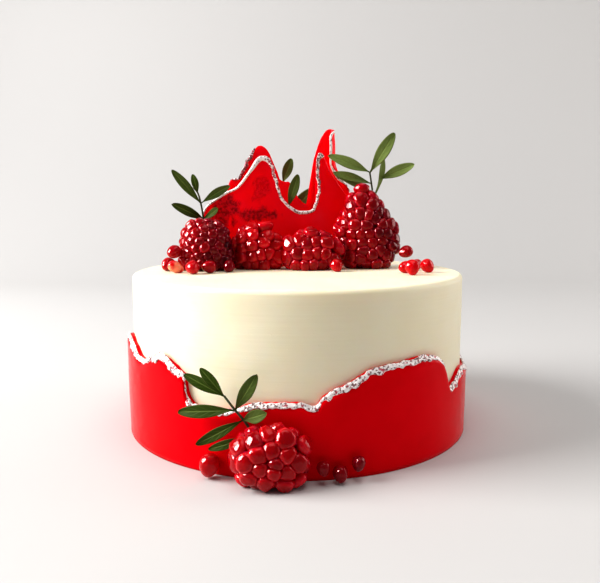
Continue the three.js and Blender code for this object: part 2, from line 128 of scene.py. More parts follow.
class Amount:
    """Something that varies over a surface. Sums on it add Math nodes to its finish."""

    def __init__(self, finish, socket):
        self.finish = finish
        self.socket = socket

    def reckon(self, operation, *terms):
        return self.finish.node("Math", {"operation": operation}, dict(enumerate(terms)))

    def __add__(self, other):
        return self.reckon("ADD", self, other)

    def __sub__(self, other):
        return self.reckon("SUBTRACT", self, other)

    def __rsub__(self, other):
        return self.reckon("SUBTRACT", other, self)

    def __mul__(self, other):
        return self.reckon("MULTIPLY", self, other)

    __radd__ = __add__
    __rmul__ = __mul__


class Finish:
    """A procedural material. Nodes are added one at a time and end in its surface."""

    def __init__(self, name):
        self.material = bpy.data.materials.new(name)
        self.material.use_nodes = True
        self.tree = self.material.node_tree
        self.tree.nodes.clear()
        self.place = self.node("TexCoord", {}, {}, "Object")

    def node(self, kind, settings, values, output=0):
        """A shader node of one kind: its settings first, then each socket's value or link."""
        made = self.tree.nodes.new("ShaderNode" + kind)
        for name, setting in settings.items():
            setattr(made, name, setting)
        for name, value in values.items():
            if isinstance(value, Amount):
                self.tree.links.new(value.socket, made.inputs[name])
            else:
                made.inputs[name].default_value = value
        return Amount(self, made.outputs[output] if made.outputs else None)

    def kept(self, name):
        """The value of this name that the mesh keeps at each of its points."""
        return self.node("Attribute", {"attribute_name": name}, {}, "Fac")

    def grain(self, size, detail=2.0, stretch=(1, 1, 1), offset=(0, 0, 0)):
        """Cloudy noise from 0 to 1, its patches about as large as the size in millimetres."""
        moved = {"Vector": self.place, "Scale": stretch, "Location": offset}
        place = self.node("Mapping", {}, moved)
        scale = 1 / (size * METRES)
        return self.node("TexNoise", {}, {"Vector": place, "Scale": scale, "Detail": detail})

    def between(self, value, low, high):
        """0 where the value is below low and 1 where it is above high, softly."""
        settings = {"interpolation_type": "SMOOTHSTEP"}
        return self.node("MapRange", settings, {"Value": value, "From Min": low, "From Max": high})

    def blend(self, share, first, second):
        """The first colour turning into the second by a share from 0 to 1."""
        return self.node("Mix", {"data_type": "RGBA"}, {0: share, 6: first, 7: second}, 2)

    def bump(self, height, depth, strength=1.0):
        """A surface normal from a height; depth is its full rise in millimetres."""
        values = {"Height": height, "Distance": depth * METRES, "Strength": strength}
        return self.node("Bump", {}, values)

    def surface(self, values):
        """Ends the recipe in a surface with these sockets. Returns the material."""
        shader = self.node("BsdfPrincipled", {}, values)
        self.node("OutputMaterial", {}, {"Surface": shader})
        return self.material


def white_cream():
    """Cream: pale and softly shining, with faint level scraper lines and tiny air holes."""
    cream = Finish("white_cream")
    cloud = cream.grain(26, 3)
    lines = cream.grain(9, 3, stretch=(0.12, 0.12, 5))
    pores = cream.between(cream.grain(1.1, 1), 0.7, 0.82)
    colour = cream.blend(cream.between(cloud, 0.35, 0.7), CREAM_LIGHT, CREAM_DEEP)
    return cream.surface({
        "Base Color": colour,
        "Roughness": 0.44 + 0.16 * lines,
        "Subsurface Weight": 0.35,
        "Subsurface Radius": (1, 0.75, 0.4),
        "Subsurface Scale": CREAM_DEPTH,
        "Specular IOR Level": 0.4,
        "Normal": cream.bump(lines - 0.4 * pores, 0.12, 0.8),
    })


def round_cake(out, turn, up):
    """Points at a distance from the cake's axis, a turn from the front and a height."""
    return np.stack([out * np.sin(turn), -out * np.cos(turn), up + 0 * (out + turn)], -1)


def cake_points():
    """The cream's skin: a profile turned about the upright axis. It runs from the middle of the
    foot out to the side, up, round the soft edge and in over the top. The side and the top
    wander in and out by a slow noise, which dies away at the foot and at the top's middle."""
    quarter = np.radians(np.linspace(0, 90, 9))
    edge_out = CAKE_RADIUS - TOP_EDGE * (1 - np.cos(quarter))
    edge_up = CAKE_HEIGHT - TOP_EDGE * (1 - np.sin(quarter))
    side_up = np.linspace(FOOT_EDGE, CAKE_HEIGHT - TOP_EDGE, SIDE_RINGS)[:-1]
    top_out = np.linspace(CAKE_RADIUS - TOP_EDGE, 0, TOP_RINGS)[1:-1]
    foot_out = [CAKE_RADIUS / 2, CAKE_RADIUS - FOOT_EDGE]
    out = np.concatenate([foot_out, side_up * 0 + CAKE_RADIUS, edge_out, top_out])
    up = np.concatenate([[0, 0], side_up, edge_up, top_out * 0 + CAKE_HEIGHT])
    out, up = out[:, None], up[:, None]
    turn = np.linspace(0, 2 * math.pi, CREAM_COLUMNS, endpoint=False)
    places = round_cake(out, turn, up)
    broad = noise(places, size=34, seed=1)
    narrow = noise(places * [1, 1, 2.5], size=11, seed=2)
    wander = SCRAPER_WAVE * (broad + 0.35 * narrow)
    on_top = smooth_step(up, CAKE_HEIGHT - TOP_EDGE, CAKE_HEIGHT - 0.2)
    on_side = smooth_step(up, 0.5, 6) * (1 - on_top)
    lifted = up + wander * on_top * smooth_step(out, 0, 20)
    rings = round_cake(out + wander * on_side, turn, lifted).reshape(-1, 3)
    return np.concatenate([[[0, 0, 0]], rings, [[0, 0, CAKE_HEIGHT]]]), len(out)


points, rings = cake_points()
faces = [face[::-1] for face in round_faces(rings, CREAM_COLUMNS)]
cake = make_piece("cream_cake", points, faces, [white_cream()])
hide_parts("cake")

# ---- The red skin ----
# A thin coat of red glaze pressed on round the lower half of the cake. Its upper lip was torn
# into waves and stands a little proud of the cream; the foot is pressed thin.

SKIN_INNER = CAKE_RADIUS - 0.4  # it clings to the cream
SKIN_THICKNESS = 3.6
SKIN_FOOT_THICKNESS = 3.3
SKIN_FOOT_RISE = 25.0  # height at which it has its full thickness
SKIN_FOOT = 0.15  # height of its foot
SKIN_COLUMNS = 1100
SKIN_SWELL = 0.22  # how far its face swells in and out
SKIN_RIPPLE = 0.07  # depth of the smaller ripples on it
LIP_RIPPLE = 0.3  # depth of those close under the lip
LIP_THICKNESS = 2.0  # where it curls in towards the cream
LIP_CURL = (3.2, 0.6)  # it curls in from this far below its crest to this far above
LIP_ROUND = 0.85  # height of the lip's rounding
LIP_RADIUS = CAKE_RADIUS + 0.3  # the radius at which the lip is unrolled
LIP_RAG = 0.45  # how far the torn edge strays from its line
GLAZE_RED = (0.74, 0.0, 0.005, 1)
GLAZE_DEEP = (0.62, 0.0, 0.002, 1)

# The torn lip: degrees round from the front, right positive, and height.
LIP = [
    (-180, 39), (-166, 43), (-152, 35), (-141, 33), (-128, 41), (-117, 49), (-104, 50),
    (-92, 46), (-81, 50), (-71.5, 53), (-63, 49.7), (-56, 45.2), (-50, 47.6), (-43.4, 50.4),
    (-36.8, 46), (-33.9, 43), (-33.3, 37), (-31.8, 32), (-27.8, 29.6), (-18.4, 30.6),
    (-13, 33.6), (0, 34.8), (5, 33.2), (7.5, 37.8), (14.9, 43.2), (21, 48), (31, 50),
    (41, 50.8), (45.2, 49.4), (48.4, 46.4), (50.2, 42.4), (52.1, 35.6), (53.6, 31.9),
    (55, 31.5), (58.6, 33.6), (62.9, 36.7), (68, 37.2), (76, 35), (86, 34), (97, 40),
    (108, 43), (117, 36), (130, 31), (144, 38), (158, 47), (170, 44), (180, 39),
]


def smooth_line(corners, count, per_span=40):
    """Points at equal distances along a smooth line through the corners. Between two corners
    runs a cubic whose slopes come from the corners on either side, each span being weighed by
    the square root of its length."""
    corners = np.asarray(corners, dtype=float)
    before = 2 * corners[:1] - corners[1:2]
    after = 2 * corners[-1:] - corners[-2:-1]
    line = np.concatenate([before, corners, after])
    span = np.sqrt(np.linalg.norm(np.diff(line, axis=0), axis=1))[:, None]
    step = np.diff(line, axis=0)
    first, middle, last = span[:-2], span[1:-1], span[2:]
    leap = line[2:] - line[:-2]
    start = step[:-2] / first - leap[:-1] / (first + middle) + step[1:-1] / middle
    end = step[1:-1] / middle - leap[1:] / (middle + last) + step[2:] / last
    start, end = start * middle, end * middle
    t = np.linspace(0, 1, per_span, endpoint=False)[:, None, None]
    a, b = corners[:-1], corners[1:]
    cubic = a + t * start + t**2 * (3 * (b - a) - 2 * start - end)
    cubic = cubic + t**3 * (2 * (a - b) + start + end)
    fine = np.concatenate([cubic.transpose(1, 0, 2).reshape(-1, corners.shape[1]), corners[-1:]])
    walked = np.concatenate([[0], np.cumsum(np.linalg.norm(np.diff(fine, axis=0), axis=1))])
    stops = np.linspace(0, walked[-1], count)
    return np.stack([np.interp(stops, walked, side) for side in fine.T], -1)


def shifted(faces, by):
    """The same faces for points that are counted from a later start."""
    return [[corner + by for corner in face] for face in faces]


def tube_faces(columns, around, ring=False):
    """Faces of a tube: each section is a loop of points, joined to the next section's by quads.
    A ring closes on itself; else each end is closed by strips between its loop's two halves."""
    loop = np.arange(around)
    after = (loop + 1) % around
    here = np.arange(columns if ring else columns - 1)[:, None] * around
    there = (here + around) % (columns * around)
    quads = np.stack([here + loop, there + loop, there + after, here + after], -1).reshape(-1, 4)
    if ring:
        return quads.tolist()
    low = np.arange(around // 2 - 1)
    cap = np.stack([low, low + 1, around - 2 - low, around - 1 - low], -1).tolist()
    if around % 2:
        cap.append([around // 2 - 1, around // 2, around // 2 + 1])
    far = shifted([face[::-1] for face in cap], (columns - 1) * around)
    return quads.tolist() + cap + far


def skin_out(up, crest):
    """How far out the red skin's face stands at a height: pressed thinner at the foot, full
    above, and curling in over the last few millimetres under its crest."""
    full = smooth_step(up, 0, SKIN_FOOT_RISE)
    face = CAKE_RADIUS + SKIN_FOOT_THICKNESS + (SKIN_THICKNESS - SKIN_FOOT_THICKNESS) * full
    curl = smooth_step(up, crest - LIP_CURL[0], crest + LIP_CURL[1])
    return face - (SKIN_THICKNESS - LIP_THICKNESS) * curl


def lip_line(count):
    """The torn lip unrolled: the way round the cake, and the height."""
    return smooth_line([(math.radians(turn) * LIP_RADIUS, up) for turn, up in LIP], count)


def skin_points():
    """The skin's wall. Each section is a loop: up the outer face, round the lip in a half
    circle, down the inner face. The height of the lip follows the torn line with a ragged
    noise, and the face swells softly in and out."""
    lip = lip_line(SKIN_COLUMNS + 1)[:-1]
    turn = lip[:, :1] / LIP_RADIUS
    rim = round_cake(np.full_like(turn, CAKE_RADIUS), turn, lip[:, 1:])
    rag = LIP_RAG * (0.7 * noise(rim, size=4.2, seed=3) + 0.5 * noise(rim, size=1.5, seed=4))
    crest = lip[:, 1:] + rag
    share = np.concatenate([np.linspace(0, 0.9, 24), [0.94, 0.97]])
    face_up = SKIN_FOOT + (crest - SKIN_FOOT) * share
    face_out = skin_out(face_up, crest)
    half = (LIP_THICKNESS + CAKE_RADIUS - SKIN_INNER) / 2
    arc = np.radians(np.linspace(0, 180, 9))
    lip_up = crest - LIP_ROUND + LIP_ROUND * np.sin(arc)
    lip_out = SKIN_INNER + half + half * np.cos(arc) + 0 * crest
    back_up = SKIN_FOOT + (crest - 2) * np.array([0.85, 0.5, 0])
    back_out = SKIN_INNER + 0 * back_up
    out = np.concatenate([face_out, lip_out, back_out], 1)
    up = np.concatenate([face_up, lip_up, back_up], 1)
    wall = round_cake(out, turn, up)
    proud = (out - SKIN_INNER) / SKIN_THICKNESS * smooth_step(up, 0, 8)
    swell = SKIN_SWELL * noise(wall * [1, 1, 0.6], size=21, seed=5)
    swell = swell + SKIN_RIPPLE * noise(wall, size=6, seed=6)
    near_lip = LIP_RIPPLE * smooth_step(up, crest - 4, crest)
    out = out + proud * swell + near_lip * proud * noise(wall, size=3, seed=7)
    return round_cake(out, turn, up)


def skin_glaze():
    """Red sugar glaze: glossy, a little see-through, and deeper in clouds where it is damp."""
    glaze = Finish("skin_glaze")
    cloud = glaze.between(glaze.grain(17, 3, offset=(3, 0, 0)), 0.42, 0.72)
    pits = glaze.between(glaze.grain(1.3, 2), 0.66, 0.76)
    scuffs = glaze.grain(3.5, 4)
    return glaze.surface({
        "Base Color": glaze.blend(0.35 * cloud, GLAZE_RED, GLAZE_DEEP),
        "Roughness": 0.14 + 0.1 * scuffs,
        "Subsurface Weight": 0.12,
        "Subsurface Radius": (1, 0.08, 0.05),
        "Subsurface Scale": 0.004,
        "IOR": 1.14,
        "Specular Tint": (1, 0.1, 0.4, 1),
        "Normal": glaze.bump(glaze.grain(7, 3) - 0.25 * pits, 0.25, 0.7),
    })


wall = skin_points()
faces = tube_faces(SKIN_COLUMNS, wall.shape[1], ring=True)
skin = make_piece("torn_red_skin", wall, faces, [skin_glaze()])
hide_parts("red_band")

# ---- The skin's silver crust ----
# Silver paint and crumbled leaf, dabbed along the torn lip by hand. It dries as a rough beaded
# ribbon about two millimetres wide, and the red shows through where the dabs are thin.

CRUST_COLUMNS = 2000
CRUST_AROUND = 10
CRUST_WIDTH = 2.5
CRUST_PROUD = 0.6
CRUST_INSET = 0.34  # how far its middle runs inside an edge, as a share of its width
CRUST_DROP = 0.1  # how far below the skin's lip its line runs
# The silver's pink tint is a painted reflection of the red glaze round it.
SILVER = (0.93, 0.86, 0.84, 1)
SILVER_DARK = (0.2, 0.09, 0.09, 1)


def crust_finish():
    """Silver paint: bright where it is thick, and tinted pink as a painted reflection of the red
    glaze round it; where it is worn it is crumpled, with dark flecks and flecks of the red under
    it."""
    crust = Finish("silver_crust")
    worn = crust.kept("worn")
    dents = crust.between(crust.grain(1.1, 3) + 0.12 * worn, 0.6, 0.68)
    bare = crust.between(crust.grain(1.8, 2, offset=(7, 0, 0)) + 0.1 * worn, 0.66, 0.72)
    metal = crust.blend(dents, SILVER, SILVER_DARK)
    return crust.surface({
        "Base Color": crust.blend(0.85 * bare, metal, (0.5, 0.01, 0.04, 1)),
        "Metallic": 0.3 - 0.3 * dents,
        "Roughness": 0.4 - 0.1 * dents,
        "Normal": crust.bump(crust.grain(0.7, 3), 0.35, 1.0),
    })


def inward(line):
    """At each point of an unrolled edge, the direction square to it, on its lower side."""
    along = np.gradient(line, axis=0)
    along /= np.linalg.norm(along, axis=1, keepdims=True)
    return np.stack([along[:, 1], -along[:, 0]], -1)


def ribbon(line, width, proud, beads, seed):
    """A beaded ribbon over an unrolled edge: for each of its points the way along, the height,
    and how far it stands out. Across, it is half an ellipse closed by a flat back; beads are
    long rounded dabs of two sizes, from the folded value of a noise."""
    angle = np.radians(np.linspace(180, 0, CRUST_AROUND - 2))
    across = np.concatenate([-np.cos(angle), [-0.5, 0.5]])
    lift = np.concatenate([np.sin(angle), [-0.35, -0.35]])
    amounts = (width, proud, beads)
    width, proud, beads = (np.broadcast_to(amount, len(line))[:, None] for amount in amounts)
    side = inward(line)
    inset = CRUST_INSET * width[..., None] + across[:, None] * width[..., None] / 2
    spot = line[:, None] + inset * side[:, None]
    walked = np.cumsum(np.linalg.norm(np.diff(line, axis=0, prepend=line[:1]), axis=1))
    place = np.stack([walked[:, None] + 0 * across, across * width, lift + 0 * width], -1)
    lumps = np.abs(noise(place * [0.45, 1, 1], size=1.5, seed=seed)) * 1.6
    lumps = lumps + np.abs(noise(place * [0.6, 1, 1], size=0.75, seed=seed + 1)) * 0.7 - 0.5
    stray = 0.22 * width * beads * noise(place * [1, 0, 0], size=2.6, seed=seed + 2)
    spot = spot + (stray + 0.12 * across * beads * lumps * width)[..., None] * side[:, None]
    return spot[..., 0], spot[..., 1], proud * (lift + np.maximum(lift, 0) * beads * lumps)


lip = lip_line(CRUST_COLUMNS + 1)
lip[:, 1] -= CRUST_DROP
way_round = lip[:, [0, 0, 0]]
girth = 1 + 0.2 * noise(way_round, size=9, seed=11) + 0.2 * noise(way_round, size=3, seed=12)
crumbs = ribbon(lip, CRUST_WIDTH * girth, CRUST_PROUD, beads=1.0, seed=12)
along, up, proud = (side[:-1] for side in crumbs)
crust_points = round_cake(skin_out(up, lip[:-1, 1:]) + proud, along / LIP_RADIUS, up)
silver_crust = crust_finish()
worn = 0.7 + 0.4 * noise(crust_points, size=12, seed=14)
faces = tube_faces(CRUST_COLUMNS, CRUST_AROUND, ring=True)
crust = make_piece("skin_silver_crust", crust_points, faces, [silver_crust], values={"worn": worn})

# ---- The sails ----
# Two thin sheets of red glaze, poured, torn while soft and stood upright in the cream one
# behind the other. They are gently bowed and rippled, and the back one's right edge rolls
# forward.

SAIL_GAP = 0.3  # a sail's foot above the cream
SAIL_THICKNESS = 1.6
SAIL_THINNED = 0.3  # the share of its thickness that a sail loses towards its torn edge
SAIL_BOW = 0.002  # how strongly a sail curves in plan
SAIL_SLANT = 0.15  # and how much its right end falls back
SAIL_WAVE = {"depth": 0.7, "along": 0.16, "up": 0.07}  # ripples: depth, and turns per mm
SAIL_COLUMNS = 240
SAIL_ROWS = 34

# How far back each sail stands, and its torn edge from left to right: distance along the sail
# and height above the cake. A curl starts at a distance along the sail, and on the way down
# from one height to another its start moves right by the flare. Patches of painted shade and
# reflection have a middle along and up, half sizes, and a strength.
NO_CURL = {"start": 1000, "radius": 1, "flare": 0, "from": 0, "to": 1}  # far past a sail's end
FRONT_SAIL = {
    "depth": 21,
    "edge": [
        (-56, 22), (-55.3, 31.1), (-52.9, 35.7), (-42.2, 43.2), (-35.2, 46.7), (-27.6, 56.4),
        (-22.9, 63), (-20, 64.1), (-17.1, 63.3), (-14.8, 59.9), (-12, 50.2), (-8.5, 39.8),
        (-0.9, 33.4), (3.8, 32.5), (7.9, 33.4), (11.4, 41.6), (11.6, 48), (10.7, 58),
        (13.1, 65.6), (14.9, 64.8), (19.1, 56.2), (25.7, 46.9), (34.3, 35.7), (37.5, 27),
    ],
    "curl": NO_CURL,
    "shade_patches": [(-46, 33, 11.5, 8.5, 0.9), (-25, 31, 10.5, 4.2, 0.85), (-20.5, 45, 5, 6.5, 0.5)],
}
BACK_SAIL = {
    "depth": 34,
    "edge": [
        (-42.5, 43), (-40, 51.5), (-35.8, 52.4), (-30.3, 62.4), (-25.4, 70), (-21.9, 71.8),
        (-18.6, 69.4), (-12.4, 56.6), (-10, 51), (-5.2, 50), (1.4, 39.3), (5.4, 36.8),
        (7.4, 41), (7.8, 53.1), (10.5, 66.3), (14.6, 77), (18.3, 81.3), (21.5, 81.2),
        (24.5, 80.2), (26.6, 77.5), (27.2, 70), (27.8, 62), (30.5, 53), (31.5, 42),
    ],
    "curl": {"start": 18.9, "radius": 2.6, "flare": 10, "from": 40, "to": 62},
    "shade_patches": [(-24, 40, 9, 7, 0.7), (12, 30, 7, 5, 0.6), (-2, 22, 8, 6, 0.7)],
}


def on_sail(sail, along, up, off):
    """Points on a sail: a distance along it, a height above the cake and a distance off its
    middle towards the front. In plan it runs on a shallow bow; past the start of the curl it
    turns forward on a small circle, and ripples push it in and out."""
    curl = sail["curl"]
    start = curl["start"] + curl["flare"] * (1 - smooth_step(up, curl["from"], curl["to"]))
    flat = np.minimum(along, start)
    angle = np.clip((along - start) / curl["radius"], 0, math.pi)
    heading = np.arctan(SAIL_SLANT + 2 * SAIL_BOW * flat) - angle
    x = flat + curl["radius"] * np.sin(angle)
    bowed = sail["depth"] + SAIL_SLANT * flat + SAIL_BOW * flat**2
    y = bowed - curl["radius"] * (1 - np.cos(angle))
    ripple = SAIL_WAVE["depth"] * np.sin(SAIL_WAVE["along"] * along + SAIL_WAVE["up"] * up)
    off = off - ripple
    return np.stack([x + np.sin(heading) * off, y - np.cos(heading) * off, CAKE_HEIGHT + up], -1)


def sail_points(sail, seed):
    """A sail's closed skin. Each section runs up the front from the foot to the torn edge,
    over it in a half circle and down the back; the sheet thins a little towards the edge."""
    crest = smooth_line(sail["edge"], SAIL_COLUMNS)
    rag = np.stack([crest[:, 0], 0 * crest[:, 0], crest[:, 1]], -1)
    waves, nicks = noise(rag, size=3.5, seed=seed), noise(rag, size=1.4, seed=seed + 1)
    crest[:, 1] += 0.3 * waves + 0.2 * nicks
    evenly = np.linspace(crest[0, 0], crest[-1, 0], SAIL_COLUMNS)[:, None]
    rise = np.linspace(0, 1, SAIL_ROWS) ** 0.9
    edge = np.radians([25, 60, 90, 120, 155])
    share = np.concatenate([rise[:-1], 1 - 0.004 * (1 - np.sin(edge)), rise[-2::-1]])
    facing = np.concatenate([np.ones(SAIL_ROWS - 1), np.cos(edge), -np.ones(SAIL_ROWS - 1)])
    along = evenly + (crest[:, :1] - evenly) * share
    up = SAIL_GAP + (crest[:, 1:] - SAIL_GAP) * share
    thickness = SAIL_THICKNESS * (1 - SAIL_THINNED * smooth_step(share, 0.7, 1))
    skin = np.stack([along, 0 * along, up], -1)
    dents = 0.35 * noise(skin, size=9, seed=seed + 2)
    dents = dents + 0.1 * noise(skin, size=3.2, seed=seed + 3)
    points = on_sail(sail, along, up, facing * thickness / 2 + dents)
    return points, shade_patch_share(sail, along, up)


def shade_patch_share(sail, along, up):
    """How deep each point lies in a patch of painted shade and reflection: soft ovals with ragged
    outlines.
    """
    place = np.stack([along, 0 * along, up], -1)
    stray = 0.5 * noise(place, size=5, seed=51) + 0.35 * noise(place, size=2.2, seed=52)
    share = 0 * along
    for middle_along, middle_up, half_along, half_up, strength in sail["shade_patches"]:
        away = np.hypot((along - middle_along) / half_along, (up - middle_up) / half_up)
        share = np.maximum(share, strength * (1 - smooth_step(away + stray, 0.7, 1.15)))
    return share


def sail_glaze():
    """The sails' glaze: clear bright red that glows where light comes through, in slow clouds of a
    pinker red that is painted sheen, with darker mottled patches of painted shade and reflection,
    each full of small bubbles."""
    glaze = Finish("sail_glaze")
    # The dark speckled patches are painted shade and reflection; the slow clouds of a darker,
    # pinker red are painted sheen.
    shade_patch = glaze.kept("shade_patch")
    specks = glaze.between(glaze.grain(1.6, 4), 0.36, 0.64)
    shade_red = glaze.blend(specks, (0.12, 0.0, 0.002, 1), (0.46, 0.0, 0.004, 1))
    clear = glaze.blend(glaze.grain(14, 2), (0.98, 0.0, 0.001, 1), (0.86, 0.0, 0.014, 1))
    return glaze.surface({
        "Base Color": glaze.blend(shade_patch, clear, shade_red),
        "Roughness": 0.2 + 0.25 * shade_patch * specks,
        "Subsurface Weight": 0.8,
        "Subsurface Radius": (1, 0.05, 0.03),
        "Subsurface Scale": 0.006,
        "Specular IOR Level": 0.2,
        "Specular Tint": (1, 0.5, 0.8, 1),
        "Normal": glaze.bump(glaze.grain(5, 3) + 0.8 * shade_patch * specks, 0.3, 0.7),
    })


sails_red = sail_glaze()
for name, sail, seed in (("front_sail", FRONT_SAIL, 21), ("back_sail", BACK_SAIL, 31)):
    points, shade_patch = sail_points(sail, seed)
    faces = tube_faces(SAIL_COLUMNS, points.shape[1])
    piece = make_piece(name + "_glaze", points, faces, [sails_red], values={"shade_patch": shade_patch})
    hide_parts(name)

# ---- The sails' silver rims ----
# The same silver, painted along the torn edges with a fine brush: thick and smooth on the left
# slope, dabbed into beads on the right slopes, and only touched on to the back sail.

RIM_PROUD = 0.55
RIM_LIFT = 0.15  # how far a rim's middle stands off the glaze
EDGE_HALF = 0.35  # half a sail's thickness at its torn edge, as a share of the full one
EDGE_STOPS = 1200  # steps along a torn edge

# Each rim: where it starts and ends as a share of the edge's length, and its width and how
# strongly it is beaded, by the share of its own length. Side -1 is the sail's back.
RIMS = {
    "front_sail_rim": {
        "sail": FRONT_SAIL, "from": 0.02, "to": 0.765, "columns": 900,
        "width": [(0, 0.8), (0.1, 1.2), (0.3, 1.6), (0.37, 2.9), (0.42, 3.0), (0.46, 1.7),
                  (0.6, 1.5), (0.7, 2.0), (0.8, 1.4), (0.93, 1.8), (1, 2.6)],
        "beads": [(0, 0.4), (0.1, 0.1), (0.38, 0.1), (0.46, 1.1), (0.58, 1.2), (0.62, 0.4),
                  (0.72, 0.5), (0.8, 1), (1, 1.3)],
    },
    "back_sail_left_rim": {
        "sail": BACK_SAIL, "from": 0.05, "to": 0.19, "columns": 160,
        "width": [(0, 0.8), (0.3, 1.7), (0.7, 1.9), (1, 0.8)],
        "beads": [(0, 1.5), (1, 1.5)],
    },
    "back_sail_roll_rim": {
        "sail": BACK_SAIL, "from": 0.78, "to": 0.985, "columns": 200, "side": -1,
        "width": [(0, 1), (0.3, 1.5), (0.55, 1.8), (0.7, 3.2), (0.85, 3.8), (1, 2)],
        "beads": [(0, 0.2), (0.5, 0.3), (0.7, 0.7), (1, 0.9)],
    },
}

for number, (name, rim) in enumerate(RIMS.items()):
    edge = smooth_line(rim["sail"]["edge"], EDGE_STOPS)
    part = edge[int(rim["from"] * EDGE_STOPS):int(rim["to"] * EDGE_STOPS)]
    edge = smooth_line(part, rim["columns"], per_span=3)
    share = np.linspace(0, 1, rim["columns"])
    width = np.interp(share, *zip(*rim["width"]))
    beads = np.interp(share, *zip(*rim["beads"]))
    along, up, proud = ribbon(edge, width, RIM_PROUD, beads, seed=41 + 7 * number)
    side = rim.get("side", 1)
    off = side * (EDGE_HALF * SAIL_THICKNESS + proud + RIM_LIFT)
    rim_points = on_sail(rim["sail"], along, up, off)
    worn = np.repeat(beads, CRUST_AROUND)
    faces = [face[::side] for face in tube_faces(rim["columns"], CRUST_AROUND)]
    piece = make_piece(name, rim_points, faces, [silver_crust], values={"worn": worn})

# ---- The pomegranate chunks ----
# Pieces broken out of a pomegranate: angular, juicy seeds packed side by side over a core of
# red pith. They lie on the cream against the sails, and one at the foot against the skin.

SPREAD_ROUNDS = 40  # steps in which the seeds push each other apart on the free form
SETTLE_ROUNDS = 25  # and again once they are pressed into their room
SEED_PUSH = 0.5  # how far two seeds that touch would push, as a share of the spacing
SEED_CROWDED = 0.72  # a seed nearer to another than this share of the spacing is left out
SEED_WIDEST = 0.72  # half width of a seed with no neighbour, as a share of the spacing
SEED_STRAY = 0.1  # how far a seed stands off its even place, as a share of the spacing
SEED_WOBBLE = 0.09  # how far its axis strays,
SEED_LEAN = 0.6  # and how strongly it leans towards the side that it was moved in from
SEED_RISE = 0.35  # how far a seed stands higher or lower than the rest
SEED_TIGHT = 1.2  # how much further seeds swell, so that neighbours press into each other
SEED_SIZES = (0.93, 1.05)  # and how much smaller and larger single seeds are
SEED_AROUND = 11
SEED_INSET = 0.42  # distance of a seed's middle from the room's sides, as a share of the spacing
SEED_DOME = 0.38  # height of a seed's crown over its waist, as a share of the spacing
SEED_ROOT = 0.8  # and the depth of its root
CORE_AROUND = 24
CORE_RINGS = 15
CORE_DEPTH = 0.75  # how far the core lies below the form, as a share of the spacing
CORE_INSET = 1.2  # and its distance from the room's sides

# A seed from crown to root: how wide it is there, and how far up or down.
SEED_PROFILE = [(0.36, 0.98), (0.63, 0.89), (0.87, 0.62), (1.01, 0.18), (1.0, -0.15), (0.7, -0.6)]

# Each chunk: the middle and half sizes of its outer form, the spacing of its seeds, the turn of
# their spiral, and the room that it is pressed into, from its low to its high corner and, at the
# foot, off the cake's axis. Tones run from dark at 0 to bright at 1, and the shade slope is what
# they gain for each millimetre to the right: painted shade, darker towards the chunk's side that
# is turned from the light. Above its middle a form may lean to the right, by a share of the
# height, and taper by a share of its width. Toward turns all crowns a little to one side.
CHUNKS = {
    "chunk_left": {
        "tones": (0.2, 0.45), "shade_slope": -0.018,
        "middle": (-51.4, -1, CAKE_HEIGHT + 10.3), "half": (16.2, 11.5, 20.4), "pitch": 5.4,
        "turn": 0.3, "low": (-80, -30, CAKE_HEIGHT), "high": (-33, 13, 200),
    },
    "chunk_middle_left": {
        "tones": (0.5, 0.85), "shade_slope": 0.015, "toward": (-0.45, 0, 0.2),
        "middle": (-23, 7.2, CAKE_HEIGHT + 9.3), "half": (16.6, 9.5, 18.2), "pitch": 7,
        "turn": 1.1, "low": (-60, -20, CAKE_HEIGHT), "high": (-8.6, 16.6, 200),
    },
    "chunk_middle_right": {
        "tones": (0.35, 0.6),
        "middle": (7, 3.2, CAKE_HEIGHT + 8.3), "half": (18.4, 9.5, 15.4), "pitch": 7,
        "turn": 2.3, "low": (-8.3, -20, CAKE_HEIGHT), "high": (60, 17, 200),
    },
    "chunk_right": {
        "tones": (0.2, 0.45), "shade_slope": -0.01,
        "middle": (40.4, 14.5, CAKE_HEIGHT + 17.8), "half": (18.8, 13, 33), "pitch": 6.4,
        "turn": 1.57, "low": (10, -20, CAKE_HEIGHT), "high": (80, 25.2, 200),
        "lean": -0.11, "taper": 0.65,
    },
    "chunk_rear": {
        "tones": (0.3, 0.9),
        "middle": (1, 54, CAKE_HEIGHT + 8.3), "half": (18, 10.5, 21), "pitch": 7,
        "turn": 1.9, "low": (-40, 40, CAKE_HEIGHT), "high": (40, 80, 200),
    },
    "chunk_foot": {
        "tones": (0.4, 0.7),
        "middle": (-11, -98, 12), "half": (19.2, 11, 16.8), "pitch": 7,
        "turn": 0.5, "low": (-60, -140, 0), "high": (60, -40, 60), "stands_off": 93.4,
    },
}


def unit(vectors):
    """The vectors shortened or stretched to length 1."""
    return vectors / np.linalg.norm(vectors, axis=-1, keepdims=True)


def pushed_apart(form, half, pitch, rounds, lie):
    """Points on an ellipsoid after pushing each other apart where they lie, step by step: each
    neighbour within two spacings pushes by the square of how near it is, and the point then
    slides back on to the ellipsoid."""
    reach = 2 * pitch
    for _ in range(rounds):
        places = lie(form)
        gap = places[:, None] - places[None]
        distance = np.linalg.norm(gap, axis=-1)
        near = (distance > 0) & (distance <= reach)
        push = SEED_PUSH * pitch * (1 - distance / reach) ** 2 / np.maximum(distance, 1e-9)
        moved = form + (gap * np.where(near, push, 0)[..., None]).sum(axis=1)
        form = unit(moved / half) * half
    return form


def spread(half, pitch, turn):
    """Points spread evenly over an ellipsoid, from a spiral that runs from pole to pole."""
    power = 1.6075
    area = 4 * math.pi * np.mean((half * np.roll(half, 1)) ** power) ** (1 / power)
    count = round(area / (pitch**2 * math.sqrt(0.75)))
    number = np.arange(count)
    up = 1 - (2 * number + 1) / count
    angle = number * math.pi * (3 - math.sqrt(5)) + turn
    out = np.sqrt(1 - up**2)
    spiral = np.stack([out * np.cos(angle), out * np.sin(angle), up], -1) * half
    return pushed_apart(spiral, half, pitch, SPREAD_ROUNDS, lambda form: form)


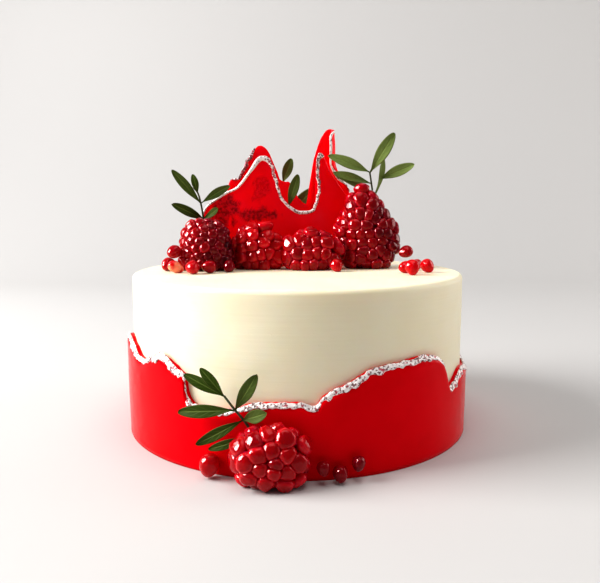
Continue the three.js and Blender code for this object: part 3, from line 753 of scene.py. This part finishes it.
def uneven(points, turn):
    """How far a chunk swells or shrinks: slow rolls, and a little by each seed."""
    x, y, z = np.moveaxis(points, -1, 0)
    roll = np.sin(0.17 * x + 5 * turn) * np.sin(0.19 * z + 3 * turn)
    return 1 + 0.07 * roll + 0.015 * np.sin(1.7 * x + 2.3 * y + 1.9 * z)


def kept_apart(places, order, gap):
    """The numbers of places taken in order, leaving out each that crowds one taken before."""
    taken = []
    for number in order:
        if not taken or np.linalg.norm(places[taken] - places[number], axis=1).min() > gap:
            taken.append(number)
    return np.array(taken)


def into_room(points, chunk, inset):
    """Points moved by the shortest way into a chunk's room: the box between what it lies on
    and what it leans on and, at the foot, outside the red skin."""
    kept = np.clip(points, np.array(chunk["low"]) + inset, np.array(chunk["high"]) - inset)
    if "stands_off" in chunk:
        out = np.linalg.norm(kept[..., :2], axis=-1, keepdims=True)
        kept[..., :2] *= np.maximum((chunk["stands_off"] + inset) / out, 1)
    return kept


def leaning(points, chunk):
    """Points of a chunk's form pushed sideways by a share of their height over its middle, and
    drawn in to its axis by a share that grows with the square of that height."""
    up = np.maximum(points[:, 2:], 0)
    narrow = 1 - chunk.get("taper", 0) * (up / chunk["half"][2]) ** 2
    return points * np.hstack([narrow, narrow, 0 * up + 1]) + up * [chunk.get("lean", 0), 0, 0]


def cell_reach(places, axes, one, two, turns, widest):
    """How far each seed reaches at each turn round its axis before it meets its neighbours: the
    half distance to a neighbour over the cosine between the turn and the way to it. All the
    neighbours' reaches and the widest one join in a high power mean, which rounds corners."""
    power = 7
    gap = places[None] - places[:, None]
    distance = np.linalg.norm(gap, axis=-1) + 10 * widest * np.eye(len(places))
    way = np.arctan2((gap * two[:, None]).sum(-1), (gap * one[:, None]).sum(-1))
    beside = (axes[:, None] * axes[None]).sum(-1) > -0.1
    facing = np.cos(turns - way[..., None]).clip(0) * beside[..., None]
    pressed = (2 * facing / distance[..., None]) ** power
    return (pressed.sum(1) + widest**-power) ** (-1 / power)


def ball(around, rings):
    """The unit ball's points: a pole, rings and a pole, with the first pole up."""
    tilt = np.linspace(0, math.pi, rings + 2)[1:-1, None]
    turn = np.linspace(0, 2 * math.pi, around, endpoint=False)
    out, up = np.sin(tilt), np.cos(tilt)
    ring = np.stack([out * np.cos(turn), out * np.sin(turn), up + 0 * turn], -1)
    return np.concatenate([[[0, 0, 1]], ring.reshape(-1, 3), [[0, 0, -1]]])


def many(faces, size, count):
    """One shape's faces repeated for a number of copies, each with so many points."""
    return [face for copy in range(count) for face in shifted(faces, size * copy)]


def pomegranate():
    """Seed flesh: wet, clear deep red, darker towards the root, and painted lighter round each
    crown
    with a pink rim: painted light coming through the seed. A tone over 1 turns it partly pale
    orange, in clouds, which is also painted light coming through it."""
    flesh = Finish("pomegranate_seed")
    tone, crown = flesh.kept("tone"), flesh.kept("crown")
    deep = flesh.blend(tone, (0.04, 0.0, 0.004, 1), (0.56, 0.0, 0.003, 1))
    clear = flesh.blend(tone, (0.12, 0.0, 0.014, 1), (0.76, 0.004, 0.015, 1))
    # Painted light: lighter flanks round each crown, and a pink rim above them, as light coming
    # through the seed.
    body = flesh.blend(flesh.between(crown, 0.45, 0.95), clear, deep)
    rim = flesh.between(crown, 0.35, 0.55) * (1 - flesh.between(crown, 0.62, 0.85))
    body = flesh.blend(0.35 * rim * tone, body, (0.86, 0.04, 0.04, 1))
    # Painted light: pale orange clouds on seeds with a tone over 1, as light coming through the
    # seed.
    painted_glow = flesh.between(tone, 1, 2) * flesh.between(flesh.grain(4, 1), 0.35, 0.6)
    body = flesh.blend(painted_glow, body, (0.92, 0.34, 0.2, 1))
    return flesh.surface({
        "Base Color": flesh.blend(flesh.between(crown, -0.5, 0.1), (0.4, 0.0, 0.004, 1), body),
        "Roughness": 0.03 + 0.05 * flesh.grain(2.5, 2),
        "Subsurface Weight": 0.6,
        "Subsurface Radius": (1, 0.04, 0.03),
        "Subsurface Scale": 0.005,
        "IOR": 1.42,
        "Specular IOR Level": 0.6,
        "Specular Tint": (1, 0.42, 0.42, 1),
        "Normal": flesh.bump(flesh.grain(2.8, 1), 0.6, 0.6),
    })


def red_pith():
    """The core that the seeds grow from: dull dark red membrane."""
    pith = Finish("red_pith")
    cloud = pith.grain(3, 3)
    return pith.surface({
        "Base Color": pith.blend(cloud, (0.24, 0.0, 0.003, 1), (0.42, 0.0, 0.006, 1)),
        "Roughness": 0.5,
        "Normal": pith.bump(cloud, 0.4, 0.8),
    })


def seeds_and_core(chunk, seed):
    """A chunk's points and faces, each face's finish, and each point's tone and crown. Seeds
    stand on the form's surface, crowns outwards; those beyond the room move in and lean towards
    the side they move in from. Each is a dome over the cell that its neighbours leave it, and
    narrows below to its root. The core is the form, shrunk under the seeds and kept in the
    room."""
    random = np.random.default_rng(seed)
    half = np.array(chunk["half"], dtype=float)
    pitch = chunk["pitch"]
    dome, root = SEED_DOME * pitch, SEED_ROOT * pitch

    def free(form):
        """Where the seeds' waists would be with nothing in their way."""
        swollen = leaning(form * uneven(form, chunk["turn"])[:, None], chunk)
        return chunk["middle"] + swollen - dome * unit(form / half**2)

    def pressed(form):
        """Where they are once the chunk is pressed into its room."""
        return into_room(free(form), chunk, SEED_INSET * pitch)

    form = spread(half, pitch, chunk["turn"])
    order = np.argsort(np.linalg.norm(free(form) - pressed(form), axis=1), kind="stable")
    form = form[kept_apart(pressed(form), order, SEED_CROWDED * pitch)]
    form = pushed_apart(form, half, pitch, SETTLE_ROUNDS, pressed)
    form = unit((form + random.normal(0, SEED_STRAY * pitch, form.shape)) / half) * half
    middles, count = pressed(form), len(form)
    moved = free(form) - middles
    stray = random.normal(0, SEED_WOBBLE, (count, 3))
    toward = chunk.get("toward", (0, 0, 0))
    axes = unit(unit(form / half**2) + SEED_LEAN * moved / pitch + stray + toward)
    one = unit(np.cross(axes, random.normal(0, 1, (count, 3))))
    two = np.cross(axes, one)
    turns = np.linspace(0, 2 * math.pi, SEED_AROUND, endpoint=False)
    reach = cell_reach(middles, axes, one, two, turns, SEED_WIDEST * pitch)
    reach = SEED_TIGHT * reach * random.uniform(*SEED_SIZES, (count, 1))
    circle = np.cos(turns)[:, None] * one[:, None] + np.sin(turns)[:, None] * two[:, None]
    out, up = np.array(SEED_PROFILE).T
    height = np.where(up > 0, dome, root) * up
    rise = random.uniform(-SEED_RISE, SEED_RISE, (count, 1, 1, 1))
    centres = middles[:, None, None] + axes[:, None, None] * (height[:, None, None] + rise)
    rings = centres + out[:, None, None] * (reach[..., None] * circle)[:, None]
    crowns = centres[:, 0] + axes[:, None] * (dome - height[0])
    roots = centres[:, -1] - axes[:, None] * (root + height[-1])
    seeds = np.concatenate([crowns, rings.reshape(count, -1, 3), roots], 1)
    seeds = into_room(seeds, chunk, 0.0)
    each = seeds.shape[1]
    # Painted shade: tones fall across the chunk, darker on its side that is turned from the light.
    shade_slope = chunk.get("shade_slope", 0) * (middles[:, 0] - chunk["middle"][0])
    tone = np.repeat(np.clip(random.uniform(*chunk["tones"], count) + shade_slope, 0, 1), each)
    crown = np.tile(np.concatenate([[1], np.repeat(up, SEED_AROUND), [-1]]), count)
    core = leaning(ball(CORE_AROUND, CORE_RINGS) * (half - CORE_DEPTH * pitch), chunk)
    core = into_room(chunk["middle"] + core, chunk, CORE_INSET)
    faces = many(round_faces(len(up), SEED_AROUND), each, count)
    core_faces = shifted(round_faces(CORE_RINGS, CORE_AROUND), count * each)
    points = np.concatenate([seeds.reshape(-1, 3), core])
    values = {
        "tone": np.concatenate([tone, np.zeros(len(core))]),
        "crown": np.concatenate([crown, -np.ones(len(core))]),
    }
    return points, faces + core_faces, [0] * len(faces) + [1] * len(core_faces), values


flesh, pith = pomegranate(), red_pith()
seed_pieces = []
for number, (name, chunk) in enumerate(CHUNKS.items()):
    points, faces, which, values = seeds_and_core(chunk, 60 + number)
    piece = make_piece(name + "_seeds", points, faces, [flesh, pith], which, values)
    seed_pieces.append(piece)
    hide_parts(name)

# ---- The loose seeds ----
# Single pomegranate seeds laid on the cream beside the chunks, and against the skin at the
# foot: smooth, taut drops, a little angular and wider at one end.

LOOSE_TAPER = 0.18  # how much wider a seed is at one end
LOOSE_FLATS = 0.06  # how strongly its three sides are flattened
LOOSE_SINK = 0.05  # how deep it is pressed into the cream
LOOSE_CROWN = 0.8  # its depth of colour: that of a packed seed near its crown
LOOSE_AROUND = 20
LOOSE_RINGS = 13

# The middle in plan, the height of the middle (None where it lies on the cream), width and
# length, turn and tilt of the long axis in degrees, and tone: dark at 0, bright at 1, and
# partly pale orange towards 2, which is painted light coming through the seed.
LOOSE_SEEDS = {
    "seed_left_1": ((-71.6, -5), None, (7.4, 8.6), 60, 20, 0.6),
    "seed_left_2": ((-65.4, -15.5), None, (6.2, 9.4), 205, 24, 1.9),
    "seed_left_3": ((-55.4, -22), None, (7.4, 8.4), 100, 10, 0.7),
    "seed_left_4": ((-47.4, -17), None, (6.8, 8), 20, 0, 0.45),
    "seed_left_5": ((-37.4, -11), None, (6.4, 7.6), 80, 30, 0.2),
    "seed_left_6": ((-67.5, -9), 94.5, (7.2, 8.2), 40, 20, 0.5),
    "seed_middle": ((21.4, -9.5), None, (6.6, 7.4), 130, 50, 0.7),
    "seed_right_1": ((61.6, 6), 93.4, (7, 8.4), 10, 15, 0.5),
    "seed_right_2": ((66, -3), None, (6.4, 7.8), 70, 0, 0.6),
    "seed_right_3": ((57.6, -17), None, (6.6, 7.6), 30, 0, 0.8),
    "seed_right_4": ((59.8, -27.5), None, (7.6, 8.6), 95, 60, 0.9),
    "seed_right_5": ((70.4, -13.5), None, (7, 8), 140, 50, 0.9),
    "seed_rear_1": ((26, 50), None, (6.8, 8), 40, 10, 0.7),
    "seed_rear_2": ((-22, 61), None, (7, 8.4), 150, 20, 0.5),
    "seed_rear_3": ((14, 70), None, (6.6, 7.8), 95, 50, 0.9),
    "seed_foot_left": ((-38.6, -90.2), 6, (8.8, 11), 0, 80, 0.7),
    "seed_foot_1": ((11.6, -97.2), 7.4, (5.8, 6.6), 100, 60, 0.3),
    "seed_foot_2": ((19, -95.6), 4.3, (6.6, 7.8), 100, 65, 0.3),
    "seed_foot_3": ((27, -93.4), 8.2, (6, 7), 75, 60, 0.2),
}


def loose_seed(at, height, size, turn, tilt):
    """One loose seed: the seed's form with its long axis along Y, tilted up about X, turned
    about the upright, and set at its height or lowered on to the cream."""
    across, up, along = np.moveaxis(ball(LOOSE_AROUND, LOOSE_RINGS), -1, 0)
    flats = 1 - LOOSE_FLATS * np.cos(3 * np.arctan2(up, across) + turn) * (1 - along**2)
    radius = size[0] / 2 * (1 + LOOSE_TAPER * along) * flats
    tilt, turn = math.radians(tilt), math.radians(turn - 90)
    x, y, z = across * radius, along * size[1] / 2, up * radius
    y, z = y * math.cos(tilt) - z * math.sin(tilt), y * math.sin(tilt) + z * math.cos(tilt)
    x, y = x * math.cos(turn) - y * math.sin(turn), x * math.sin(turn) + y * math.cos(turn)
    lift = CAKE_HEIGHT - LOOSE_SINK - z.min() if height is None else height
    return np.stack([x + at[0], y + at[1], z + lift], -1)


drops = [loose_seed(*place[:5]) for place in LOOSE_SEEDS.values()]
size_of_drop = len(drops[0])
tones = np.repeat([place[5] for place in LOOSE_SEEDS.values()], size_of_drop)
drop_faces = [face[::-1] for face in round_faces(LOOSE_RINGS, LOOSE_AROUND)]
loose = make_piece(
    "loose_seeds", np.concatenate(drops), many(drop_faces, size_of_drop, len(drops)), [flesh],
    values={"tone": tones, "crown": np.full(len(tones), LOOSE_CROWN)},
)
seed_pieces.append(loose)
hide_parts(*LOOSE_SEEDS)

# ---- The leaf sprigs ----
# Small evergreen twigs pushed into the cream behind the chunks, and one into the chunk at the
# foot: firm oval leaves, dark olive above with a paler midrib, on thin brown-green stems.

LEAF_THICKNESS = 0.4
LEAF_CELLS = 18
LEAF_ACROSS = 9
LEAF_FOLD = 0.12  # how far its edges fold up, as a share of its width
LEAF_WAVE = 0.35  # how far its edges wave
LEAF_LEAST = 0.1  # its width at foot and tip, as a share of the full one
LEAF_SHADES = 0.15  # how much lighter or darker single leaves are
STEM_RADIUS = 0.65
STEM_COLUMNS = 40
STEM_AROUND = 8

# Each sprig: the height that its own heights start from, how light its green is, the stem's
# route, and the leaves. A leaf has its foot, its tip and its width and, where it differs from
# the others, how far it bends, the way its face looks, and how much lighter it is. The right
# sprig's light green is painted light: its leaves are painted lighter as if lit through from
# behind.
SPRIGS = {
    "sprig_left": {
        "floor": CAKE_HEIGHT, "light": 0.2,
        "stem": [(-53, 14, 0.4), (-53.6, 14.4, 14), (-54.2, 13, 27.5), (-54.9, 8.5, 37.1),
                 (-56.3, 7, 43.1), (-58.6, 6, 46.2)],
        "leaves": [
            ((-54.9, 8.5, 37.1), (-70, 3, 55.6), 5.2),
            ((-56.3, 7, 43), (-58.7, 5, 53.4), 4, {"bend": 1.6}),
            ((-54.2, 13, 28.1), (-69.9, 0, 36.8), 5.6),
            ((-54.9, 8.5, 37.1), (-40.2, 23.5, 47.4), 5.2),
            ((-54.2, 13, 28.3), (-44.6, 4, 34.6), 4.2, {"bend": -1}),
        ],
    },
    "sprig_right": {
        "floor": CAKE_HEIGHT, "light": 1.0,
        "stem": [(47, 30, 0.4), (46.6, 31, 20), (45.4, 30.6, 40), (43.6, 26, 49.5),
                 (42.4, 24, 55.4)],
        "leaves": [
            ((42.5, 24.2, 55.1), (56.2, 22, 77.8), 7.6),
            ((42.5, 24.2, 55.1), (17.6, 20, 64.6), 6.6, {"bend": 1.5}),
            ((45.4, 30.4, 41), (50.2, 27, 64.7), 5, {"bend": 1.8, "facing": (0.8, -0.75, 0.1)}),
            ((48.6, 30, 51.4), (68.6, 24, 59.9), 6.6, {"bend": 1}),
            ((43.9, 26.8, 48.6), (20.6, 20, 54.8), 5, {"bend": 1.5}),
            ((45, 29.8, 43), (21.2, 21, 54), 4.6, {"bend": 2.5}),
        ],
    },
    "sprig_back": {
        "floor": CAKE_HEIGHT, "light": 0.45,
        "stem": [(-6, 41, 0.4), (-6.6, 41.6, 20), (-6.4, 41, 36), (-9.4, 41, 50)],
        "leaves": [
            ((-9.3, 41, 49.6), (-3.8, 41, 64.5), 6),
            ((-6.5, 41.3, 30), (10.6, 38.5, 46.8), 7.4),
        ],
    },
    "sprig_between": {
        "floor": CAKE_HEIGHT, "light": 0.4,
        "stem": [(-6, 26.6, 0.4), (-6.4, 27.2, 18), (-5.6, 27, 35.5)],
        "leaves": [
            ((-5.6, 27, 35.2), (0.2, 28, 54.3), 6),
        ],
    },
    "sprig_foot": {
        "floor": 0, "light": 0.0,
        "stem": [(-18.4, -93.1, 14), (-19.8, -92.9, 20), (-21.2, -92.5, 24.7),
                 (-23.6, -93.4, 28.6), (-26.9, -94.4, 33.1), (-31.2, -93.6, 38.6)],
        "leaves": [
            ((-31, -93.6, 38.3), (-41.8, -90, 49.8), 4.6),
            ((-31, -93.6, 38.3), (-49.2, -87.4, 46.4), 5),
            ((-26.4, -94.3, 32.5), (-16.8, -97, 49), 6, {"light": 0.25}),
            ((-26.4, -94.3, 32.5), (-52.2, -87, 29.4), 6),
            ((-23, -93.3, 27.9), (-43.6, -94, 17), 5, {"bend": 1}),
            ((-23, -93.3, 27.9), (-12.6, -98.4, 32.6), 6, {"light": 0.3}),
            ((-19.8, -92.9, 20.4), (-39, -88, 12.6), 4.2, {"facing": (-0.3, -1, 0)}),
        ],
    },
}


def leaf_points(floor, foot, tip, width, bend=0.8, facing=(0.1, -1, 0.25)):
    """A leaf's sections from foot to tip: across the face, then back along the underside. Its
    width follows a rounded arch; it bends towards its face in the middle, folds up along the
    midrib, and its edges wave. Also the shares along and across, for its finish."""
    start = np.add(foot, (0, 0, floor))
    way = np.add(tip, (0, 0, floor)) - start
    length = np.linalg.norm(way)
    axis = way / length
    normal = unit(np.array(facing) - axis * np.dot(facing, axis))
    across = np.cross(normal, axis)
    u = np.sin(np.linspace(0, math.pi / 2, LEAF_CELLS + 1))[:, None]
    v = np.linspace(-1, 1, LEAF_ACROSS)
    edge = np.concatenate([v, v[::-1]])
    side = np.repeat([1, -1], LEAF_ACROSS)
    arch = np.sin(math.pi * u**1.25).clip(0) ** (0.95 - 0.45 * u)
    reach = width / 2 * np.maximum(arch, LEAF_LEAST)
    wave = LEAF_WAVE * edge * np.sin(7 * u + length)
    lift = bend * np.sin(math.pi * u) + LEAF_FOLD * width * edge**2 + wave
    lift = lift + side * LEAF_THICKNESS / 2 * (1 - 0.6 * edge**2)
    points = start + axis * (u * length)[..., None] + across * (edge * reach)[..., None]
    points = points + normal * lift[..., None]
    return points, u + 0 * edge, edge + 0 * u


def stem_points(floor, route):
    """A twig: a circle carried along a smooth line, thinner towards its end."""
    line = smooth_line(np.add(route, (0, 0, floor)), STEM_COLUMNS)
    way = unit(np.gradient(line, axis=0))
    one = unit(np.cross(way, (0.3, 1, 0.2)))
    two = np.cross(one, way)
    turn = np.linspace(0, 2 * math.pi, STEM_AROUND, endpoint=False)[:, None]
    radius = STEM_RADIUS * np.linspace(1.1, 0.75, STEM_COLUMNS)[:, None, None]
    circle = np.cos(turn) * one[:, None] + np.sin(turn) * two[:, None]
    return line[:, None] + radius * circle


def leaf_green():
    """Leaf: olive and waxy, darker on some leaves and painted lighter on the right sprig, as light
    coming through its leaves, with a pale midrib, faint side veins and a thin dry rim."""
    leaf = Finish("leaf_green")
    tone, along, edge = leaf.kept("tone"), leaf.kept("along"), leaf.kept("across")
    away = edge.reckon("ABSOLUTE", edge)
    rib = 1 - leaf.between(away, 0.03, 0.16)
    slant = along * 34 - away * 9
    veins = leaf.between(slant.reckon("SINE", slant), 0.55, 1)
    cloud = leaf.grain(5, 3)
    green = leaf.blend(tone, (0.025, 0.05, 0.001, 1), (0.22, 0.29, 0.085, 1))
    green = leaf.blend(0.3 * cloud, green, (0.07, 0.1, 0.005, 1))
    green = leaf.blend(0.15 * veins, green, (0.14, 0.19, 0.03, 1))
    green = leaf.blend(0.4 * rib, green, (0.22, 0.3, 0.06, 1))
    rim = leaf.between(away, 0.86, 0.97)
    return leaf.surface({
        "Base Color": leaf.blend(0.45 * rim, green, (0.16, 0.14, 0.05, 1)),
        "Roughness": 0.42 + 0.14 * cloud,
        "Specular IOR Level": 0.12,
        "Normal": leaf.bump(0.5 * cloud - rib - 0.35 * veins, 0.25, 0.8),
    })


def twig_brown():
    """Twig: thin, dark green-brown bark with fine streaks."""
    twig = Finish("twig_brown")
    streaks = twig.grain(1.2, 3, stretch=(1, 1, 0.3))
    return twig.surface({
        "Base Color": twig.blend(streaks, (0.025, 0.03, 0.012, 1), (0.07, 0.085, 0.025, 1)),
        "Roughness": 0.6,
        "Normal": twig.bump(streaks, 0.15, 0.7),
    })


green, brown = leaf_green(), twig_brown()
shades = np.random.default_rng(80)
for name, sprig in SPRIGS.items():
    twig = stem_points(sprig["floor"], sprig["stem"]).reshape(-1, 3)
    points, faces = [twig], tube_faces(STEM_COLUMNS, STEM_AROUND)
    which = [1] * len(faces)
    alongs, acrosses, lights = ([np.zeros(len(twig))] for _ in range(3))
    for foot, tip, width, *more in sprig["leaves"]:
        traits = dict(*more)
        lighter = traits.pop("light", 0)
        blade, along, across = leaf_points(sprig["floor"], foot, tip, width, **traits)
        blade_faces = tube_faces(LEAF_CELLS + 1, 2 * LEAF_ACROSS)
        faces += shifted(blade_faces, sum(len(part) for part in points))
        which += [0] * len(blade_faces)
        points.append(blade.reshape(-1, 3))
        alongs.append(along.ravel())
        acrosses.append(across.ravel())
        # Each leaf's tone: its sprig's light, which on the right sprig is painted light coming
        # through the leaves, plus a random difference from leaf to leaf.
        light = sprig["light"] + lighter + shades.uniform(-LEAF_SHADES, LEAF_SHADES)
        lights.append(np.full(along.size, light))
    values = {"along": alongs, "across": acrosses, "tone": lights}
    values = {key: np.concatenate(value) for key, value in values.items()}
    points = np.concatenate(points)
    piece = make_piece(name + "_leaves", points, faces, [green, brown], which, values)
    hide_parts(name)

# ---- The studio ----
# A plain pale floor that sweeps up behind, in pale air. One broad soft light stands at the
# left, with a weaker one above and one at the right. The glint beside the first shows only as
# the gloss on the wet seeds.

FLOOR_PALE = (0.56, 0.55, 0.54, 1)
FLOOR_SIDE = 3000.0  # how far it reaches to each side and forwards
SWEEP_FROM = 620.0  # how far behind the cake's axis the sweep starts
SWEEP_RADIUS = 500.0
SWEEP_TOP = 1600.0


def floor_points():
    """The floor's profile carried sideways: flat, a quarter circle up, and straight up."""
    arc = np.radians(np.linspace(0, 90, 24))
    back = SWEEP_FROM + SWEEP_RADIUS
    y = np.concatenate([[-FLOOR_SIDE], SWEEP_FROM + SWEEP_RADIUS * np.sin(arc), [back]])
    z = np.concatenate([[0], SWEEP_RADIUS * (1 - np.cos(arc)), [SWEEP_TOP]])
    x = np.linspace(-FLOOR_SIDE, FLOOR_SIDE, 9)[:, None]
    return np.stack([x + 0 * y, y + 0 * x, z + 0 * x], -1)


def pale_floor():
    """Pale matt paper with a hardly visible tooth."""
    paper = Finish("pale_floor")
    return paper.surface({
        "Base Color": FLOOR_PALE,
        "Roughness": 0.65,
        "Normal": paper.bump(paper.grain(2, 2), 0.05, 0.2),
    })


sheet = floor_points()
rows, columns = sheet.shape[:2]
corner = np.arange(rows - 1)[:, None] * columns + np.arange(columns - 1)
quads = np.stack([corner, corner + columns, corner + columns + 1, corner + 1], -1).reshape(-1, 4)
floor = shaped("floor", sheet, quads.tolist(), [pale_floor()])


def soft_light(name, place, aim, size, power, colour, wet=None):
    """A square soft light at a place, turned to look at a point. With a collection of wet
    pieces it lights nothing else, and shows only as the gloss on them."""
    lamp = bpy.data.lights.new(name, "AREA")
    lamp.shape = "SQUARE"
    lamp.size = size
    lamp.energy = power
    lamp.color = colour
    light = bpy.data.objects.new(name, lamp)
    light.location = place
    gaze = Vector(aim) - Vector(place)
    light.rotation_mode = "QUATERNION"
    light.rotation_quaternion = gaze.to_track_quat("-Z", "Y")
    light.visible_diffuse = wet is None
    light.light_linking.receiver_collection = wet
    bpy.context.scene.collection.objects.link(light)


soft_light("key", (-1.13, -0.14, 0.72), (0, 0, 0.06), 0.75, 28, (1, 0.99, 0.98))
soft_light("top", (0.1, -0.3, 1.6), (0, 0, 0.05), 1.0, 8, (1, 0.985, 0.97))
soft_light("fill", (1.3, 0.3, 0.5), (0, 0, 0.06), 0.9, 7.6, (1, 0.97, 0.93))
wet_seeds = bpy.data.collections.new("wet_seeds")
for piece in seed_pieces:
    wet_seeds.objects.link(piece)
soft_light("glint", (-1.16, -0.44, 0.68), (0, 0, 0.06), 0.7, 80, (1, 0.97, 0.95), wet_seeds)

room = bpy.data.worlds.new("room")
room.use_nodes = True
air = room.node_tree.nodes["Background"]
air.inputs["Color"].default_value = (0.93, 0.94, 1.0, 1)
air.inputs["Strength"].default_value = 0.2
bpy.context.scene.world = room
bpy.context.scene.view_settings.view_transform = "Standard"
bpy.context.scene.view_settings.look = "Medium High Contrast"

# The camera stands close and a little above the cake's top, looking slightly down.
CAMERA_PLACE = (0.0014, -0.3652, 0.1195)
CAMERA_DOWN = 7.494  # degrees
PICTURE_WIDTH = 36  # millimetres, for the lens below
LENS = 39.13
lens = bpy.data.cameras.new("camera")
lens.sensor_width = PICTURE_WIDTH
lens.lens = LENS
lens.clip_start = 0.01
camera = bpy.data.objects.new("camera", lens)
camera.location = CAMERA_PLACE
camera.rotation_euler = (math.radians(90 - CAMERA_DOWN), 0, 0)
bpy.context.scene.collection.objects.link(camera)
bpy.context.scene.camera = camera
